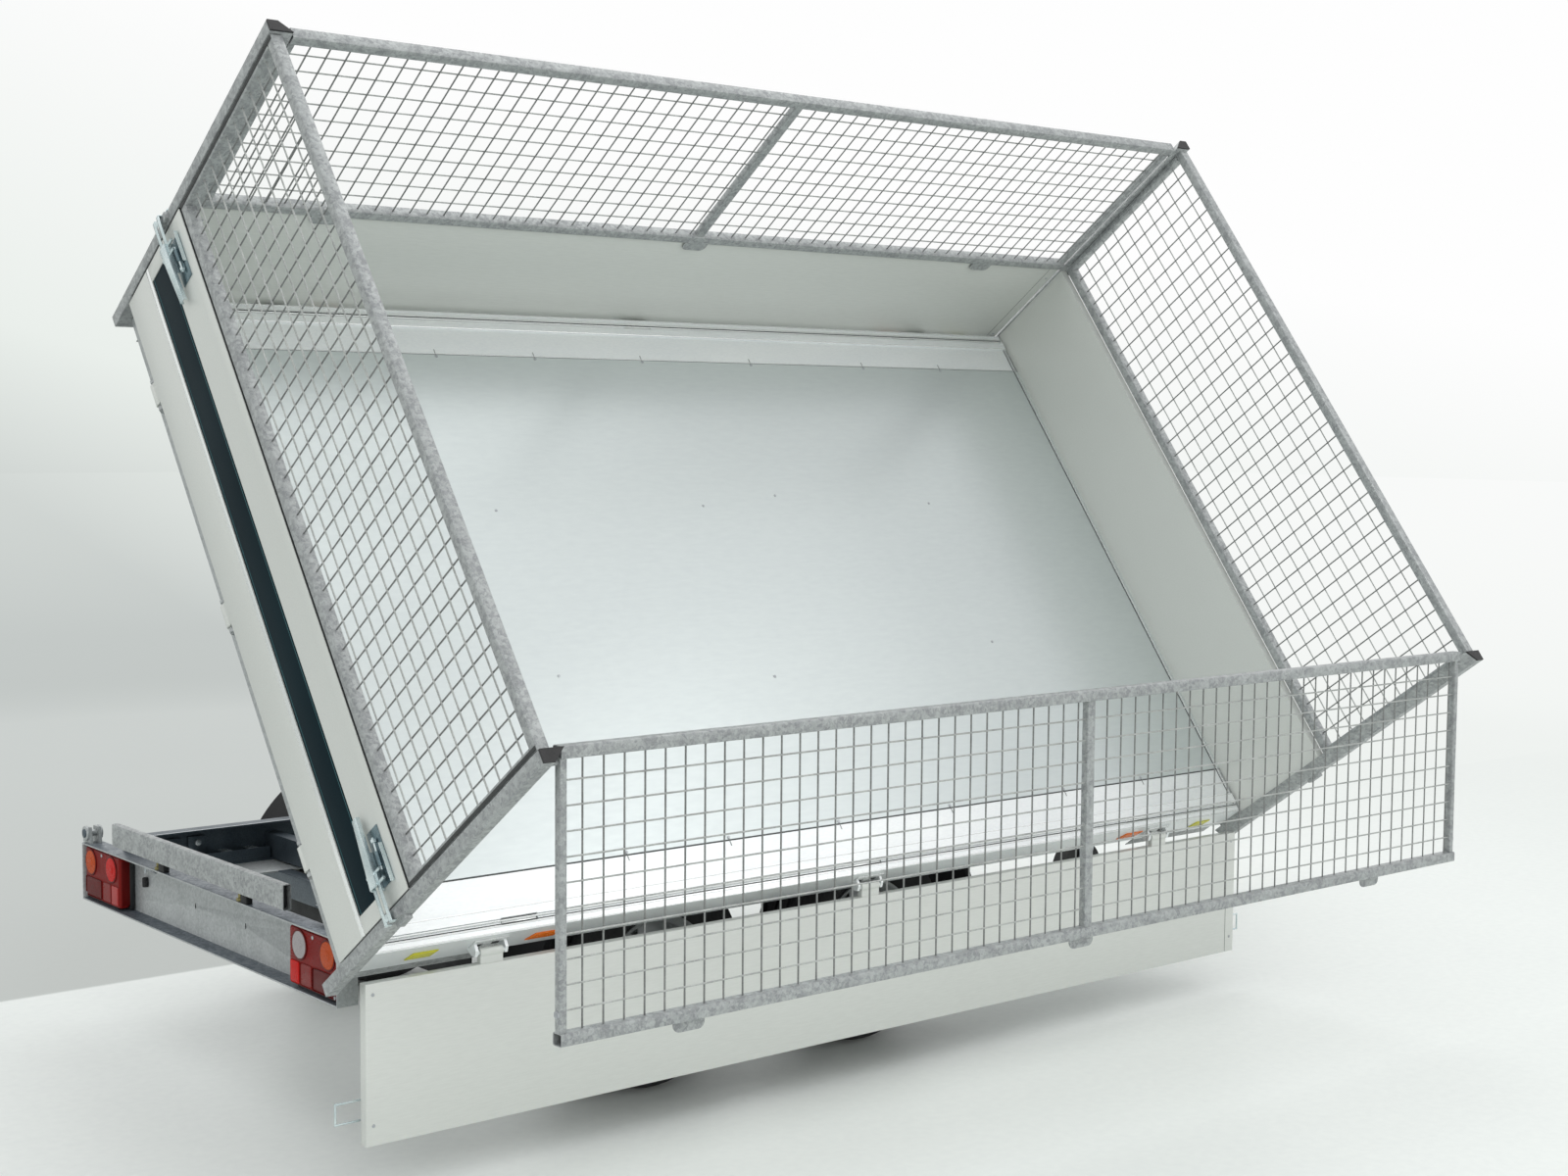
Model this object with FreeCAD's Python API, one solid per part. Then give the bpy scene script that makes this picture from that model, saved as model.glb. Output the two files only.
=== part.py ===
import FreeCAD, Part
import math
import os

V = FreeCAD.Vector
X_WAY, Y_WAY, Z_WAY = V(1, 0, 0), V(0, 1, 0), V(0, 0, 1)

# A tandem-axle three-way tipping trailer with mesh side extensions, its bed tipped to the right.
# Sizes are in millimetres and degrees. X runs forward from the back of the bed, Y to the left of the
# centre line and Z up from the ground. At the end everything moves so that the towing ball is the origin.

# Bed
bed_length = 3110
bed_width = 1880
tip_angle = 54
pivot_inset = 205
pivot_drop = 240
frame_depth = 90
frame_wall = 4
floor_sheet = 3
floor_strip = 180
floor_joint = 3
cross_tube = 60
cross_tube_wall = 3
cross_tube_count = 6
spine_width = 50
spine_height = 80

# Corner posts: a folded section, wide towards the bed and cut off at 45 degrees outside
post_depth = 30
post_back = 57
post_wall = 3
post_height = 950
post_foot = 40
post_socket = 120
cap_height = 5

# Panels round the load
panel_thick = 25
panel_top = 345
panel_bottom = -20
panel_gap = 5
hinge_inset = 14
hinge_drop = 45
hinge_pin = 6
ear_wall = 8
ear_rise = 14
ear_waist = 12
ear_nose = 9
ear_drop = 20
edge_foot = 40
edge_band_out = 34
edge_band_in = 60
edge_band_rise = 5
edge_setback = 4
hinge_width = 80
hinge_rear = 390
hinge_front = 410
front_wall_inset = 25
band_bottom = 120
band_top = 222
band_depth = 4
ridge_bottom = 105
ridge_width = 7
ridge_depth = 2

# Over-centre latches at the ends of the panels, with catches on the corner posts
latch_rise = 232
latch_height = 80
latch_length = 165
latch_inset = 8
latch_plate = 3
latch_lever = 38
tail_latch_depth = 26
side_latch_depth = 12
catch_width = 18
catch_depth = 9
catch_height = 44
lash_rear = 464
lash_middle = 15
lash_front = 510
lash_length = 100
lash_width = 16
lash_inset = 62

# Mesh extensions
mesh_tube = 30
mesh_tube_wall = 2
mesh_pitch = 50
mesh_wire = 4
mesh_layer_gap = 0.4
mesh_bottom_gap = 6
mesh_top_gap = 12
mesh_inset = 3
mesh_pivot_drop = 46
mesh_swing_gap = 4
mid_stile = 38
mesh_pin = 5
mesh_pin_hole = 5.3
mesh_pin_reach = 12
mesh_pin_end_gap = 1

# Chassis
seat_rise = 27
beam_height = 161
beam_flange = 54
beam_wall = 4
rear_beam_setback = 139
front_beam_setback = 150
rail_flange = 50
rail_step = 37
rail_height = 110
rail_wall = 4
cross_height = 70
cross_depth = 40
cross_spacing = 400
rest_bar_length = 1046
rest_bar_depth = 30
rest_bar_height = 64
rest_bar_lift = 22
plate_hole_spacing = 290
plate_hole_radius = 3.5
plate_hole_rise = 81
plate_hole_offset = -29
lamp_width = 245
lamp_depth = 46
pivot_pin = 10
pivot_eye = 19
leg_thick = 12
leg_width = 90
seat_gap = 3
seat_wall = 8
seat_setback = 27

# Axles and wheels
axle_back = 515
axle_spacing = 725
tyre_radius = 290
tyre_width = 185
wheel_overhang = 50
tyre_gap = 15
tyre_shoulder = 22
tyre_height = 110
rim_radius = 168
rim_wall = 4
rim_well = 18
bead_inset = 12
disc_offset = 15
disc_flat = 85
disc_dish = 20
disc_crown = 105
hub_radius = 42
drum_radius = 120
drum_depth = 55
stud_circle = 56
stud_count = 5
nut_radius = 10
vent_circle = 127
vent_radius = 12
vent_count = 5
hub_height = 45
stud_height = 24
bore_depth = 20
spindle_gap = 1
arm_reach = 150
arm_thick = 24
axle_tube = 76
axle_tube_wall = 6
spindle_radius = 18
guard_clear = 105
guard_overhang = 15
bed_clearance = 10
guard_wall = 3
guard_lip = 18

# Drawbar, coupling and jockey wheel
drawbar_height = 80
drawbar_thick = 50
drawbar_back = 1060
drawbar_reach = 870
drawbar_nose = 45
ball_reach = 470
ball_rise = 25
shaft_rise = 40
ball_radius = 25
socket_wall = 8
shaft_radius = 26
shaft_stop = 60.5
head_half = 34
head_length = 190
head_skirt = 22
handle_half = 18
housing_length = 300
housing_half = 45
brake_setback = 190
brake_plate = 12
brake_slant = 25
bellows_length = 130
bellows_ribs = 4
bellows_waist = 40
bellows_crest = 52
handbrake_length = 420
jack_back = 280
jack_offset = 190
jack_radius = 30
crank_reach = 120
crank_rise = 46
crank_bar = 7
crank_grip = 12
crank_top = 130
jack_rise = 290
jockey_radius = 100
jockey_width = 55
jockey_trail = 45
jockey_hub = 30
jockey_rim = 64
jockey_web = 10
fork_gap = 4
fork_wall = 5
fork_back = 70
fork_front = 25
fork_foot = 18
fork_pin = 8
kingpin_radius = 12
kingpin_length = 60
running_gap = 0.3
tank_front = 220
tank_length = 300
tank_width = 380
tank_height = 260

# Tipping cylinder
gimbal_rise = 5
barrel_radius = 60
tube_wall = 8
stage_gap = 0.3
barrel_below = 230
barrel_above = 60
stage_step = 25
ring_inner = 85
ring_wall = 20
ring_height = 40
carrier_wall = 12
trunnion_radius = 12
lug_drop = 100
eye_radius = 25
eye_width = 50
lug_wall = 12
lug_clear = 6
lug_carrier = 40
frame_end = 36
saddle_width = 90
saddle_thick = 17
tray_thick = 8

# Places that follow from the sizes: heights from the wheels up, widths from the bed
half_width = bed_width / 2
pivot_y = half_width - pivot_inset
half_beam = pivot_y + pivot_pin
tyre_outer = pivot_y + wheel_overhang
wheel_y = tyre_outer - tyre_width / 2
rail_outer = tyre_outer - tyre_width - tyre_gap
guard_outer = tyre_outer + guard_overhang
guard_radius = tyre_radius + guard_clear
floor_height = tyre_radius + guard_radius + bed_clearance + frame_depth
pivot_z = floor_height - pivot_drop
beam_top = pivot_z - seat_rise
beam_bottom = beam_top - beam_height
rail_top = beam_top + rail_step
rail_bottom = rail_top - rail_height
gimbal_height = rail_bottom + gimbal_rise
plate_hole_height = beam_bottom + plate_hole_rise
rear_web = rear_beam_setback + beam_flange
front_beam = bed_length - front_beam_setback
cylinder_x = bed_length / 2
axle_places = (cylinder_x - axle_back, cylinder_x - axle_back + axle_spacing)
hinge_places = (hinge_rear, cylinder_x, bed_length - hinge_front)
lash_places = (lash_rear, cylinder_x - lash_middle, bed_length - lash_front)
drawbar_start = bed_length - drawbar_back
drawbar_end = bed_length + drawbar_reach
ball_place = drawbar_end + ball_reach
ball_height = rail_bottom + ball_rise
jack_place = drawbar_end - jack_back
jack_top = ball_height + jack_rise
tank_place = bed_length + tank_front
hinge_z = floor_height - hinge_drop
nodes = {}


def box(x, y, z):
    return Part.makeBox(x[1] - x[0], y[1] - y[0], z[1] - z[0], V(x[0], y[0], z[0]))


def prism(axis, points, low, high):
    """A polygon of (second, third) coordinates, extruded along the named axis."""
    spot = {"x": lambda a, b: V(low, a, b), "y": lambda a, b: V(a, low, b), "z": lambda a, b: V(a, b, low)}
    way = {"x": X_WAY, "y": Y_WAY, "z": Z_WAY}[axis] * (high - low)
    corners = [spot[axis](a, b) for a, b in points]
    return Part.Face(Part.makePolygon(corners + corners[:1])).extrude(way)


def hollow_prism(axis, points, low, high, wall):
    """The same polygon as an open-ended tube with the given wall."""
    spot = {"x": lambda a, b: V(low, a, b), "y": lambda a, b: V(a, low, b), "z": lambda a, b: V(a, b, low)}
    way = {"x": X_WAY, "y": Y_WAY, "z": Z_WAY}[axis] * (high - low)
    corners = [spot[axis](a, b) for a, b in points]
    outer = Part.makePolygon(corners + corners[:1])
    inner = outer.makeOffset2D(-wall)
    return Part.Face(outer).extrude(way).cut(Part.Face(inner).extrude(way))


def square_tube(axis, x, y, z, wall):
    """A rectangular tube, open at both ends of the named axis."""
    inner = {"x": (x, (y[0] + wall, y[1] - wall), (z[0] + wall, z[1] - wall)),
             "y": ((x[0] + wall, x[1] - wall), y, (z[0] + wall, z[1] - wall)),
             "z": ((x[0] + wall, x[1] - wall), (y[0] + wall, y[1] - wall), z)}[axis]
    return box(x, y, z).cut(box(*inner))


def rod(start, end, radius):
    way = end - start
    return Part.makeCylinder(radius, way.Length, start, way)


def spun(profile, centre, axis):
    """A closed (distance along the axis, radius) profile turned round an axis through the centre."""
    side = Z_WAY if abs(axis.z) < 0.5 else X_WAY
    corners = [centre + axis * along + side * out for along, out in profile]
    return Part.Face(Part.makePolygon(corners + corners[:1])).revolve(centre, axis, 360)


def joined(pieces):
    return pieces[0].multiFuse(pieces[1:]).removeSplitter()


def across(shape):
    """The same piece on the other side of the centre line."""
    return shape.mirror(V(0, 0, 0), Y_WAY)


def end_for_end(shape):
    """The same piece at the other end of the bed."""
    return shape.mirror(V(bed_length / 2, 0, 0), X_WAY)


def turned(shape, centre, axis, degrees):
    moved = shape.copy()
    moved.rotate(centre, axis, degrees)
    return moved


def tipped(shape):
    """Bed pieces are drawn level and then tipped about the right-hand pivots."""
    return turned(shape, V(0, -pivot_y, pivot_z), X_WAY, tip_angle)


def keep(name, *solids):
    nodes[name] = solids[0] if len(solids) == 1 else Part.makeCompound(list(solids))


# Wheels: tyre, then rim with its disc, hub and brake drum
def tyre(x, side):
    half = tyre_width / 2
    seat = half - bead_inset
    bulge = tyre_radius - tyre_height / 2
    profile = [(-seat, rim_radius), (-half, bulge), (-half + tyre_shoulder, tyre_radius),
               (half - tyre_shoulder, tyre_radius), (half, bulge), (seat, rim_radius)]
    return spun(profile, V(x, side * wheel_y, tyre_radius), V(0, side, 0))


def rim(x, side):
    """A barrel with a dished disc, five wheel nuts, the hub and the brake drum behind it."""
    centre = V(x, side * wheel_y, tyre_radius)
    way = V(0, side, 0)
    seat = tyre_width / 2 - bead_inset
    inner = rim_radius - rim_wall
    well = rim_radius - rim_well
    edge = rim_radius - running_gap
    lip = inner - rim_wall
    barrel = spun([(-seat - rim_wall, edge), (seat + rim_wall, edge), (seat + rim_wall, lip),
                   (seat - rim_well, well - rim_wall), (rim_well - seat, well - rim_wall),
                   (-seat - rim_wall, lip)], centre, way)
    back, face = disc_offset, disc_offset + rim_wall
    disc = spun([(back, 0), (back, disc_flat), (back + disc_dish, disc_crown), (back + rim_wall, well - 1),
                 (face + rim_wall, well - 1), (face + disc_dish, disc_crown), (face, disc_flat), (face, 0)],
                centre, way)
    vents = [rod(centre + turned_spot(vent_circle, i + 0.5, vent_count),
                 centre + way * tyre_width + turned_spot(vent_circle, i + 0.5, vent_count), vent_radius)
             for i in range(vent_count)]
    disc = disc.cut(Part.makeCompound(vents))
    drum = rod(centre + way * (disc_offset - drum_depth), centre + way * disc_offset, drum_radius)
    hub = rod(centre + way * disc_offset, centre + way * (disc_offset + hub_height), hub_radius)
    nuts = []
    for i in range(stud_count):
        spot = centre + turned_spot(stud_circle, i, stud_count)
        corners = [spot + turned_spot(nut_radius, side_number, 6) for side_number in range(6)]
        nut = Part.Face(Part.makePolygon(corners + corners[:1])).extrude(way * stud_height)
        nut.translate(way * disc_offset)
        nuts.append(nut)
    bore = rod(centre + way * (disc_offset - drum_depth - 1), centre + way * (disc_offset + bore_depth),
               spindle_radius + spindle_gap)
    return joined([barrel, disc, drum, hub] + nuts).cut(bore)


def turned_spot(radius, number, count):
    angle = 2 * math.pi * number / count
    return V(radius * math.cos(angle), 0, radius * math.sin(angle))


for end, x in zip(("rear", "front"), axle_places):
    for side, hand in ((-1, "right"), (1, "left")):
        keep("tyre_%s_%s" % (end, hand), tyre(x, side))
        keep("rim_%s_%s" % (end, hand), rim(x, side))


# Torsion axles: a square tube under the rails, a trailing arm and spindle at each end
arm_y = rail_outer - rail_flange
drum_inner = wheel_y + disc_offset - drum_depth


def axle(x):
    half = axle_tube / 2
    tube_x = x + arm_reach
    tube_z = rail_bottom - saddle_thick - half
    arm_rise = tube_z - tyre_radius
    saddle_y = (rail_outer - rail_flange / 2 - saddle_width, rail_outer - rail_flange / 2)
    tube = square_tube("y", (tube_x - half, tube_x + half), (-arm_y + arm_thick, arm_y - arm_thick),
                       (tube_z - half, tube_z + half), axle_tube_wall)
    pieces = [tube]
    for side in (-1, 1):
        slant = math.degrees(math.atan2(arm_rise, arm_reach))
        reach = math.hypot(arm_reach, arm_rise)
        arm = box((-32, reach + 40), (0, arm_thick), (-32, 32))
        arm = turned(arm, V(0, 0, 0), Y_WAY, -slant)
        arm.translate(V(x, side * arm_y - arm_thick if side > 0 else -arm_y, tyre_radius))
        spindle_end = side * (wheel_y + disc_offset + 15)
        spindle = rod(V(x, side * (arm_y - 1), tyre_radius), V(x, spindle_end, tyre_radius), spindle_radius)
        plate = rod(V(x, side * arm_y, tyre_radius), V(x, side * (drum_inner - 5), tyre_radius), 60)
        saddle = box((tube_x - half, tube_x + half), sorted((side * saddle_y[0], side * saddle_y[1])),
                     (tube_z + half, rail_bottom))
        pieces += [arm, spindle, plate, saddle]
    return joined(pieces)


for end, x in zip(("rear", "front"), axle_places):
    keep("axle_" + end, axle(x))


# Mudguards: one sheet over both wheels of a side, with a turned-down outer edge
def guard_outline(radius):
    rear, front = axle_places
    z = tyre_radius
    low = math.radians(8)
    side = V(-radius * math.cos(low), 0, radius * math.sin(low))
    high = math.radians(50)
    middle = V(-radius * math.cos(high), 0, radius * math.sin(high))
    start, rise, top = V(rear, 0, z) + side, V(rear, 0, z) + middle, V(rear, 0, z + radius)
    far_top = V(front, 0, z + radius)
    far_rise = V(front - middle.x, 0, z + middle.z)
    far_side = V(front - side.x, 0, z + side.z)
    return [Part.Arc(start, rise, top).toShape(), Part.LineSegment(top, far_top).toShape(),
            Part.Arc(far_top, far_rise, far_side).toShape()]


def guard_band(outer, inner, low, high):
    outside = guard_outline(outer)
    inside = guard_outline(inner)
    ends = [Part.LineSegment(outside[-1].Vertexes[1].Point, inside[-1].Vertexes[1].Point).toShape(),
            Part.LineSegment(inside[0].Vertexes[0].Point, outside[0].Vertexes[0].Point).toShape()]
    wire = Part.Wire(Part.__sortEdges__(outside + inside + ends))
    band = Part.Face(wire).extrude(Y_WAY * (high - low))
    band.translate(V(0, low, 0))
    return band


guard_sheet = guard_band(guard_radius, guard_radius - guard_wall, rail_outer, guard_outer)
guard_edge = guard_band(guard_radius, guard_radius - guard_lip, guard_outer - guard_wall, guard_outer)
guard_left = joined([guard_sheet, guard_edge])
keep("mudguard_left", guard_left)
keep("mudguard_right", across(guard_left))

# Rear beam: a channel open to the rear, closed at both ends, with lamps set in its ends
lamp_z = (beam_bottom + beam_wall, beam_top - beam_wall)
lamp_y = (half_beam - beam_wall - lamp_width, half_beam - beam_wall)
rear_beam = joined([
    box((rear_web - beam_wall, rear_web), (-half_beam, half_beam), (beam_bottom, beam_top)),
    box((rear_beam_setback, rear_web), (-half_beam, half_beam), (beam_bottom, beam_bottom + beam_wall)),
    box((rear_beam_setback, rear_web), (-half_beam, half_beam), (beam_top - beam_wall, beam_top)),
    box((rear_beam_setback, rear_web), (half_beam - beam_wall, half_beam), (beam_bottom, beam_top)),
    box((rear_beam_setback, rear_web), (-half_beam, -half_beam + beam_wall), (beam_bottom, beam_top))])
plate_hole_y = (plate_hole_offset - plate_hole_spacing / 2, plate_hole_offset + plate_hole_spacing / 2)
plate_holes = [rod(V(rear_web - beam_wall - 5, y, plate_hole_height), V(rear_web + 5, y, plate_hole_height),
                   plate_hole_radius) for y in plate_hole_y]
keep("rear_beam", rear_beam.cut(Part.makeCompound(plate_holes)))
lamp_front = rear_web - beam_wall
tail_lamp = box((lamp_front - lamp_depth, lamp_front), lamp_y, lamp_z)
keep("tail_lamps", tail_lamp, across(tail_lamp))

# Rest bar on the rear beam: an open rectangular tube on two short feet
bar_x = (rear_beam_setback - 9, rear_beam_setback - 9 + rest_bar_depth)
bar_y = (-rest_bar_length / 2, rest_bar_length / 2)
bar_z = (beam_top + rest_bar_lift, beam_top + rest_bar_lift + rest_bar_height)
feet = [box((rear_beam_setback, bar_x[1]), (y - 20, y + 20), (beam_top, bar_z[0]))
        for y in (-rest_bar_length / 4, rest_bar_length / 4)]
keep("rest_bar", joined([square_tube("y", bar_x, bar_y, bar_z, 3)] + feet))

# Side rails: channels open towards the centre line
rail_x = (rear_web, front_beam)
rail_left = joined([
    box(rail_x, (rail_outer - rail_wall, rail_outer), (rail_bottom, rail_top)),
    box(rail_x, (rail_outer - rail_flange, rail_outer), (rail_bottom, rail_bottom + rail_wall)),
    box(rail_x, (rail_outer - rail_flange, rail_outer), (rail_top - rail_wall, rail_top))])
keep("side_rail_left", rail_left)
keep("side_rail_right", across(rail_left))

# Front beam: a square tube under the front pivots, resting on the ends of the rails
front_beam_tube = square_tube("y", (front_beam, front_beam + beam_flange), (-half_beam, half_beam),
                              (rail_bottom, beam_top), beam_wall)
keep("front_beam", front_beam_tube)

# Cross members between the rails, and the four that carry the cylinder
rail_inside = rail_outer - rail_wall
cross_z = (rail_bottom + rail_wall, rail_bottom + rail_wall + cross_height)
carrier_x = ring_inner + ring_wall + 25


def cross_member(x):
    half = cross_depth / 2
    return square_tube("y", (x - half, x + half), (-rail_inside, rail_inside), cross_z, 3)


cross_places = (axle_places[0] - cross_spacing, cylinder_x - carrier_x - 3 * cross_depth,
                axle_places[1] + cross_spacing, front_beam - cross_spacing)
keep("cross_members", *[cross_member(x) for x in cross_places])
ring_outer = ring_inner + ring_wall
carrier_y = ring_outer + 7
cradle_cross = [cross_member(cylinder_x + way * (carrier_x + cross_depth / 2)) for way in (-1, 1)]
carriers = [box((cylinder_x - carrier_x, cylinder_x + carrier_x),
                sorted((side * carrier_y, side * (carrier_y + carrier_wall))),
                (gimbal_height - ring_height / 2, cross_z[1])) for side in (-1, 1)]
bores = rod(V(cylinder_x, -carrier_y - 2 * carrier_wall, gimbal_height),
            V(cylinder_x, carrier_y + 2 * carrier_wall, gimbal_height), trunnion_radius)
keep("cylinder_cradle", *cradle_cross, *[carrier.cut(bores) for carrier in carriers])

# Gimbal ring: turned on the cradle fore and aft, and carrying the barrel's trunnions
ring_z = (gimbal_height - ring_height / 2, gimbal_height + ring_height / 2)
ring_pins = [rod(V(cylinder_x, side * (ring_outer - 2), gimbal_height),
                 V(cylinder_x, side * (carrier_y + carrier_wall), gimbal_height),
                 trunnion_radius - running_gap) for side in (-1, 1)]
bore_reach = ring_outer + 1
trunnion_bore = rod(V(cylinder_x - bore_reach, 0, gimbal_height), V(cylinder_x + bore_reach, 0, gimbal_height),
                    trunnion_radius + running_gap)
ring_bars = []
for way in (-1, 1):
    end_bar = box(sorted((cylinder_x + way * ring_inner, cylinder_x + way * ring_outer)),
                  (-ring_outer, ring_outer), ring_z)
    side_bar = box((cylinder_x - ring_inner, cylinder_x + ring_inner),
                   sorted((way * ring_inner, way * ring_outer)), ring_z)
    ring_bars += [end_bar.cut(trunnion_bore), joined([side_bar, ring_pins[(way + 1) // 2]])]
keep("gimbal_ring", *ring_bars)

# Pivot seats: two cheeks and a pin at each corner of the chassis
seat_places = (rear_beam_setback + seat_setback, front_beam + beam_flange - seat_setback)


def pivot_seat(x, side):
    inner = leg_thick / 2 + seat_gap
    cheeks = []
    for way in (-1, 1):
        span = sorted((x + way * inner, x + way * (inner + seat_wall)))
        y = side * pivot_y
        outline = [(y - 28, beam_top), (y + 28, beam_top), (y + 16, pivot_z + 18), (y - 16, pivot_z + 18)]
        cheeks.append(prism("x", outline, span[0], span[1]))
    pin = rod(V(x - inner - seat_wall - 6, side * pivot_y, pivot_z),
              V(x + inner + seat_wall + 6, side * pivot_y, pivot_z), pivot_pin)
    return joined(cheeks + [pin])


keep("pivot_seats", *[pivot_seat(x, side) for x in seat_places for side in (-1, 1)])

# Drawbar: two tubes that run from the rails to the nose
drawbar_top = rail_bottom
drawbar_bottom = drawbar_top - drawbar_height
rail_middle = rail_outer - rail_flange / 2


def drawbar_beam(side):
    near, far = (drawbar_start, side * rail_middle), (drawbar_end, side * drawbar_nose)
    span = math.hypot(far[0] - near[0], far[1] - near[1])
    turn = math.degrees(math.atan2(far[1] - near[1], far[0] - near[0]))
    half = drawbar_thick / 2
    beam = square_tube("x", (0, span), (-half, half), (drawbar_bottom, drawbar_top), beam_wall)
    beam = turned(beam, V(0, 0, 0), Z_WAY, turn)
    beam.translate(V(near[0], near[1], 0))
    return beam


def beam_face(x):
    """How far out the beam's outer face is at this place along the drawbar."""
    slope = (rail_middle - drawbar_nose) / (drawbar_end - drawbar_start)
    return rail_middle - slope * (x - drawbar_start) + drawbar_thick / 2 * math.hypot(1, slope)


def cross_plate(low, high):
    """A plate over both beams between two places along the drawbar."""
    outline = [(low, -beam_face(low)), (high, -beam_face(high)), (high, beam_face(high)),
               (low, beam_face(low))]
    return prism("z", outline, drawbar_top, drawbar_top + tray_thick)


tank_x = (tank_place - tank_length / 2, tank_place + tank_length / 2)
keep("drawbar", drawbar_beam(1), drawbar_beam(-1), cross_plate(tank_x[0], tank_x[1]),
     cross_plate(drawbar_end - housing_length - 40, drawbar_end - 5))

# Overrun housing, bellows and shaft, then the coupling head over the ball
shaft_z = ball_height + shaft_rise
housing_x = (drawbar_end - housing_length, drawbar_end)
housing_low = drawbar_top + tray_thick
housing_top = shaft_z + housing_half
housing = prism("y", [(housing_x[0], housing_low), (housing_x[1], housing_low), (housing_x[1], housing_top),
                      (housing_x[0] + 60, housing_top), (housing_x[0], shaft_z + 20)], -housing_half, housing_half)
shaft = rod(V(drawbar_end - 10, 0, shaft_z), V(ball_place - shaft_stop, 0, shaft_z), shaft_radius)
keep("overrun_housing", joined([housing, shaft]))
rib = bellows_length / bellows_ribs
bellows_profile = [(0, shaft_radius + running_gap), (0, bellows_waist)]
for i in range(bellows_ribs):
    bellows_profile += [(i * rib + rib / 2, bellows_crest), ((i + 1) * rib, bellows_waist)]
bellows_profile += [(bellows_length, shaft_radius + running_gap)]
keep("bellows", spun(bellows_profile, V(drawbar_end, 0, shaft_z), X_WAY))
ball = V(ball_place, 0, ball_height)
dome = Part.makeSphere(ball_radius + socket_wall, ball)
head_back, head_low, head_top = ball_place - head_length, shaft_z - head_half, shaft_z + head_half
neck = prism("y", [(head_back, head_low), (ball_place - 40, head_low), (ball_place + 12, ball_height),
                   (ball_place + 6, ball_height + 30), (ball_place - 60, head_top), (head_back, head_top)],
             -head_half, head_half)
skirt = rod(V(ball_place, 0, ball_height - head_skirt), ball, ball_radius + socket_wall)
head = joined([dome, neck, skirt])
head = head.cut(Part.makeSphere(ball_radius + 0.5, ball))
head = head.cut(rod(V(ball_place, 0, ball_height - 60), ball, ball_radius + 0.5))
head = head.cut(rod(V(head_back - 10, 0, shaft_z), V(ball_place - shaft_stop + 0.5, 0, shaft_z),
                    shaft_radius + running_gap))
handle = prism("y", [(ball_place - 30, head_top), (ball_place + 20, head_top + 26), (ball_place + 20, head_top + 38),
                     (head_back + 40, head_top + 18), (head_back + 40, head_top)], -handle_half, handle_half)
keep("coupling_head", head, handle)
brake_x = housing_x[1] - brake_setback
brake_y = (housing_half, housing_half + brake_plate)
brake_pivot = V(brake_x, brake_y[0], shaft_z + 50)
brake_bar = box((brake_x - 10, brake_x + 10), (brake_y[0], brake_y[1] + 4),
                (brake_pivot.z, brake_pivot.z + handbrake_length))
brake = joined([box((brake_x - 30, brake_x + 30), brake_y, (shaft_z - 30, shaft_z + 70)),
                turned(brake_bar, brake_pivot, Y_WAY, -brake_slant)])
keep("handbrake_lever", brake)

# Jockey wheel: clamp and tube on the left drawbar beam, a swivelling fork and a solid wheel
jack_y = jack_offset
jack_low = 2 * jockey_radius + 25
kingpin_top = jack_low + kingpin_length
jack_tube = rod(V(jack_place, jack_y, jack_low), V(jack_place, jack_y, jack_top), jack_radius)
jack_tube = jack_tube.cut(rod(V(jack_place, jack_y, jack_low - 1), V(jack_place, jack_y, kingpin_top),
                              kingpin_radius + running_gap))
clamp_x = (jack_place - 45, jack_place + 45)
clamp_y = jack_y + jack_radius + 12
clamp = prism("z", [(clamp_x[0], beam_face(clamp_x[0])), (clamp_x[1], beam_face(clamp_x[1])),
                    (clamp_x[1], clamp_y), (clamp_x[0], clamp_y)], drawbar_bottom + 10, drawbar_top - 10)
crank_z = jack_top + crank_rise
crank_x = jack_place + crank_reach
crank = joined([rod(V(jack_place, jack_y, jack_top), V(jack_place, jack_y, crank_z - crank_bar), crank_bar + 2),
                box((jack_place - crank_bar, crank_x + crank_bar), (jack_y - crank_bar, jack_y + crank_bar),
                    (crank_z - 2 * crank_bar, crank_z)),
                rod(V(crank_x, jack_y, crank_z - 1), V(crank_x, jack_y, jack_top + crank_top), crank_grip)])
keep("jockey_mast", joined([jack_tube, clamp, crank]))
fork_half = jockey_width / 2 + fork_gap
hub_x = jack_place - jockey_trail
fork_top = jack_low - 2
fork_x = (jack_place - fork_back, jack_place + fork_front)
fork_outer = fork_half + fork_wall
foot_z = jockey_radius - 15
fork = [box(fork_x, (jack_y - fork_outer, jack_y + fork_outer), (fork_top - 8, fork_top))]
for way in (-1, 1):
    span = sorted((jack_y + way * fork_half, jack_y + way * fork_outer))
    outline = [(fork_x[0], fork_top), (fork_x[1], fork_top), (hub_x + fork_foot, foot_z), (hub_x - fork_foot, foot_z)]
    fork.append(prism("y", outline, span[0], span[1]))
axle_pin = rod(V(hub_x, jack_y - fork_outer - 3, jockey_radius), V(hub_x, jack_y + fork_outer + 3, jockey_radius),
               fork_pin)
kingpin = rod(V(jack_place, jack_y, fork_top - 1), V(jack_place, jack_y, kingpin_top - 2), kingpin_radius)
keep("jockey_fork", joined(fork + [axle_pin, kingpin]))
jockey_bore = fork_pin + 0.5
tread_half = jockey_width / 2
web_half = tread_half - jockey_web
jockey = spun([(-tread_half, jockey_bore), (-tread_half, jockey_hub), (-web_half, jockey_hub),
               (-web_half, jockey_rim), (-tread_half, jockey_rim), (-tread_half, jockey_radius),
               (tread_half, jockey_radius), (tread_half, jockey_rim), (web_half, jockey_rim),
               (web_half, jockey_hub), (tread_half, jockey_hub), (tread_half, jockey_bore)],
              V(hub_x, jack_y, jockey_radius), Y_WAY)
keep("jockey_wheel", jockey)

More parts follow.
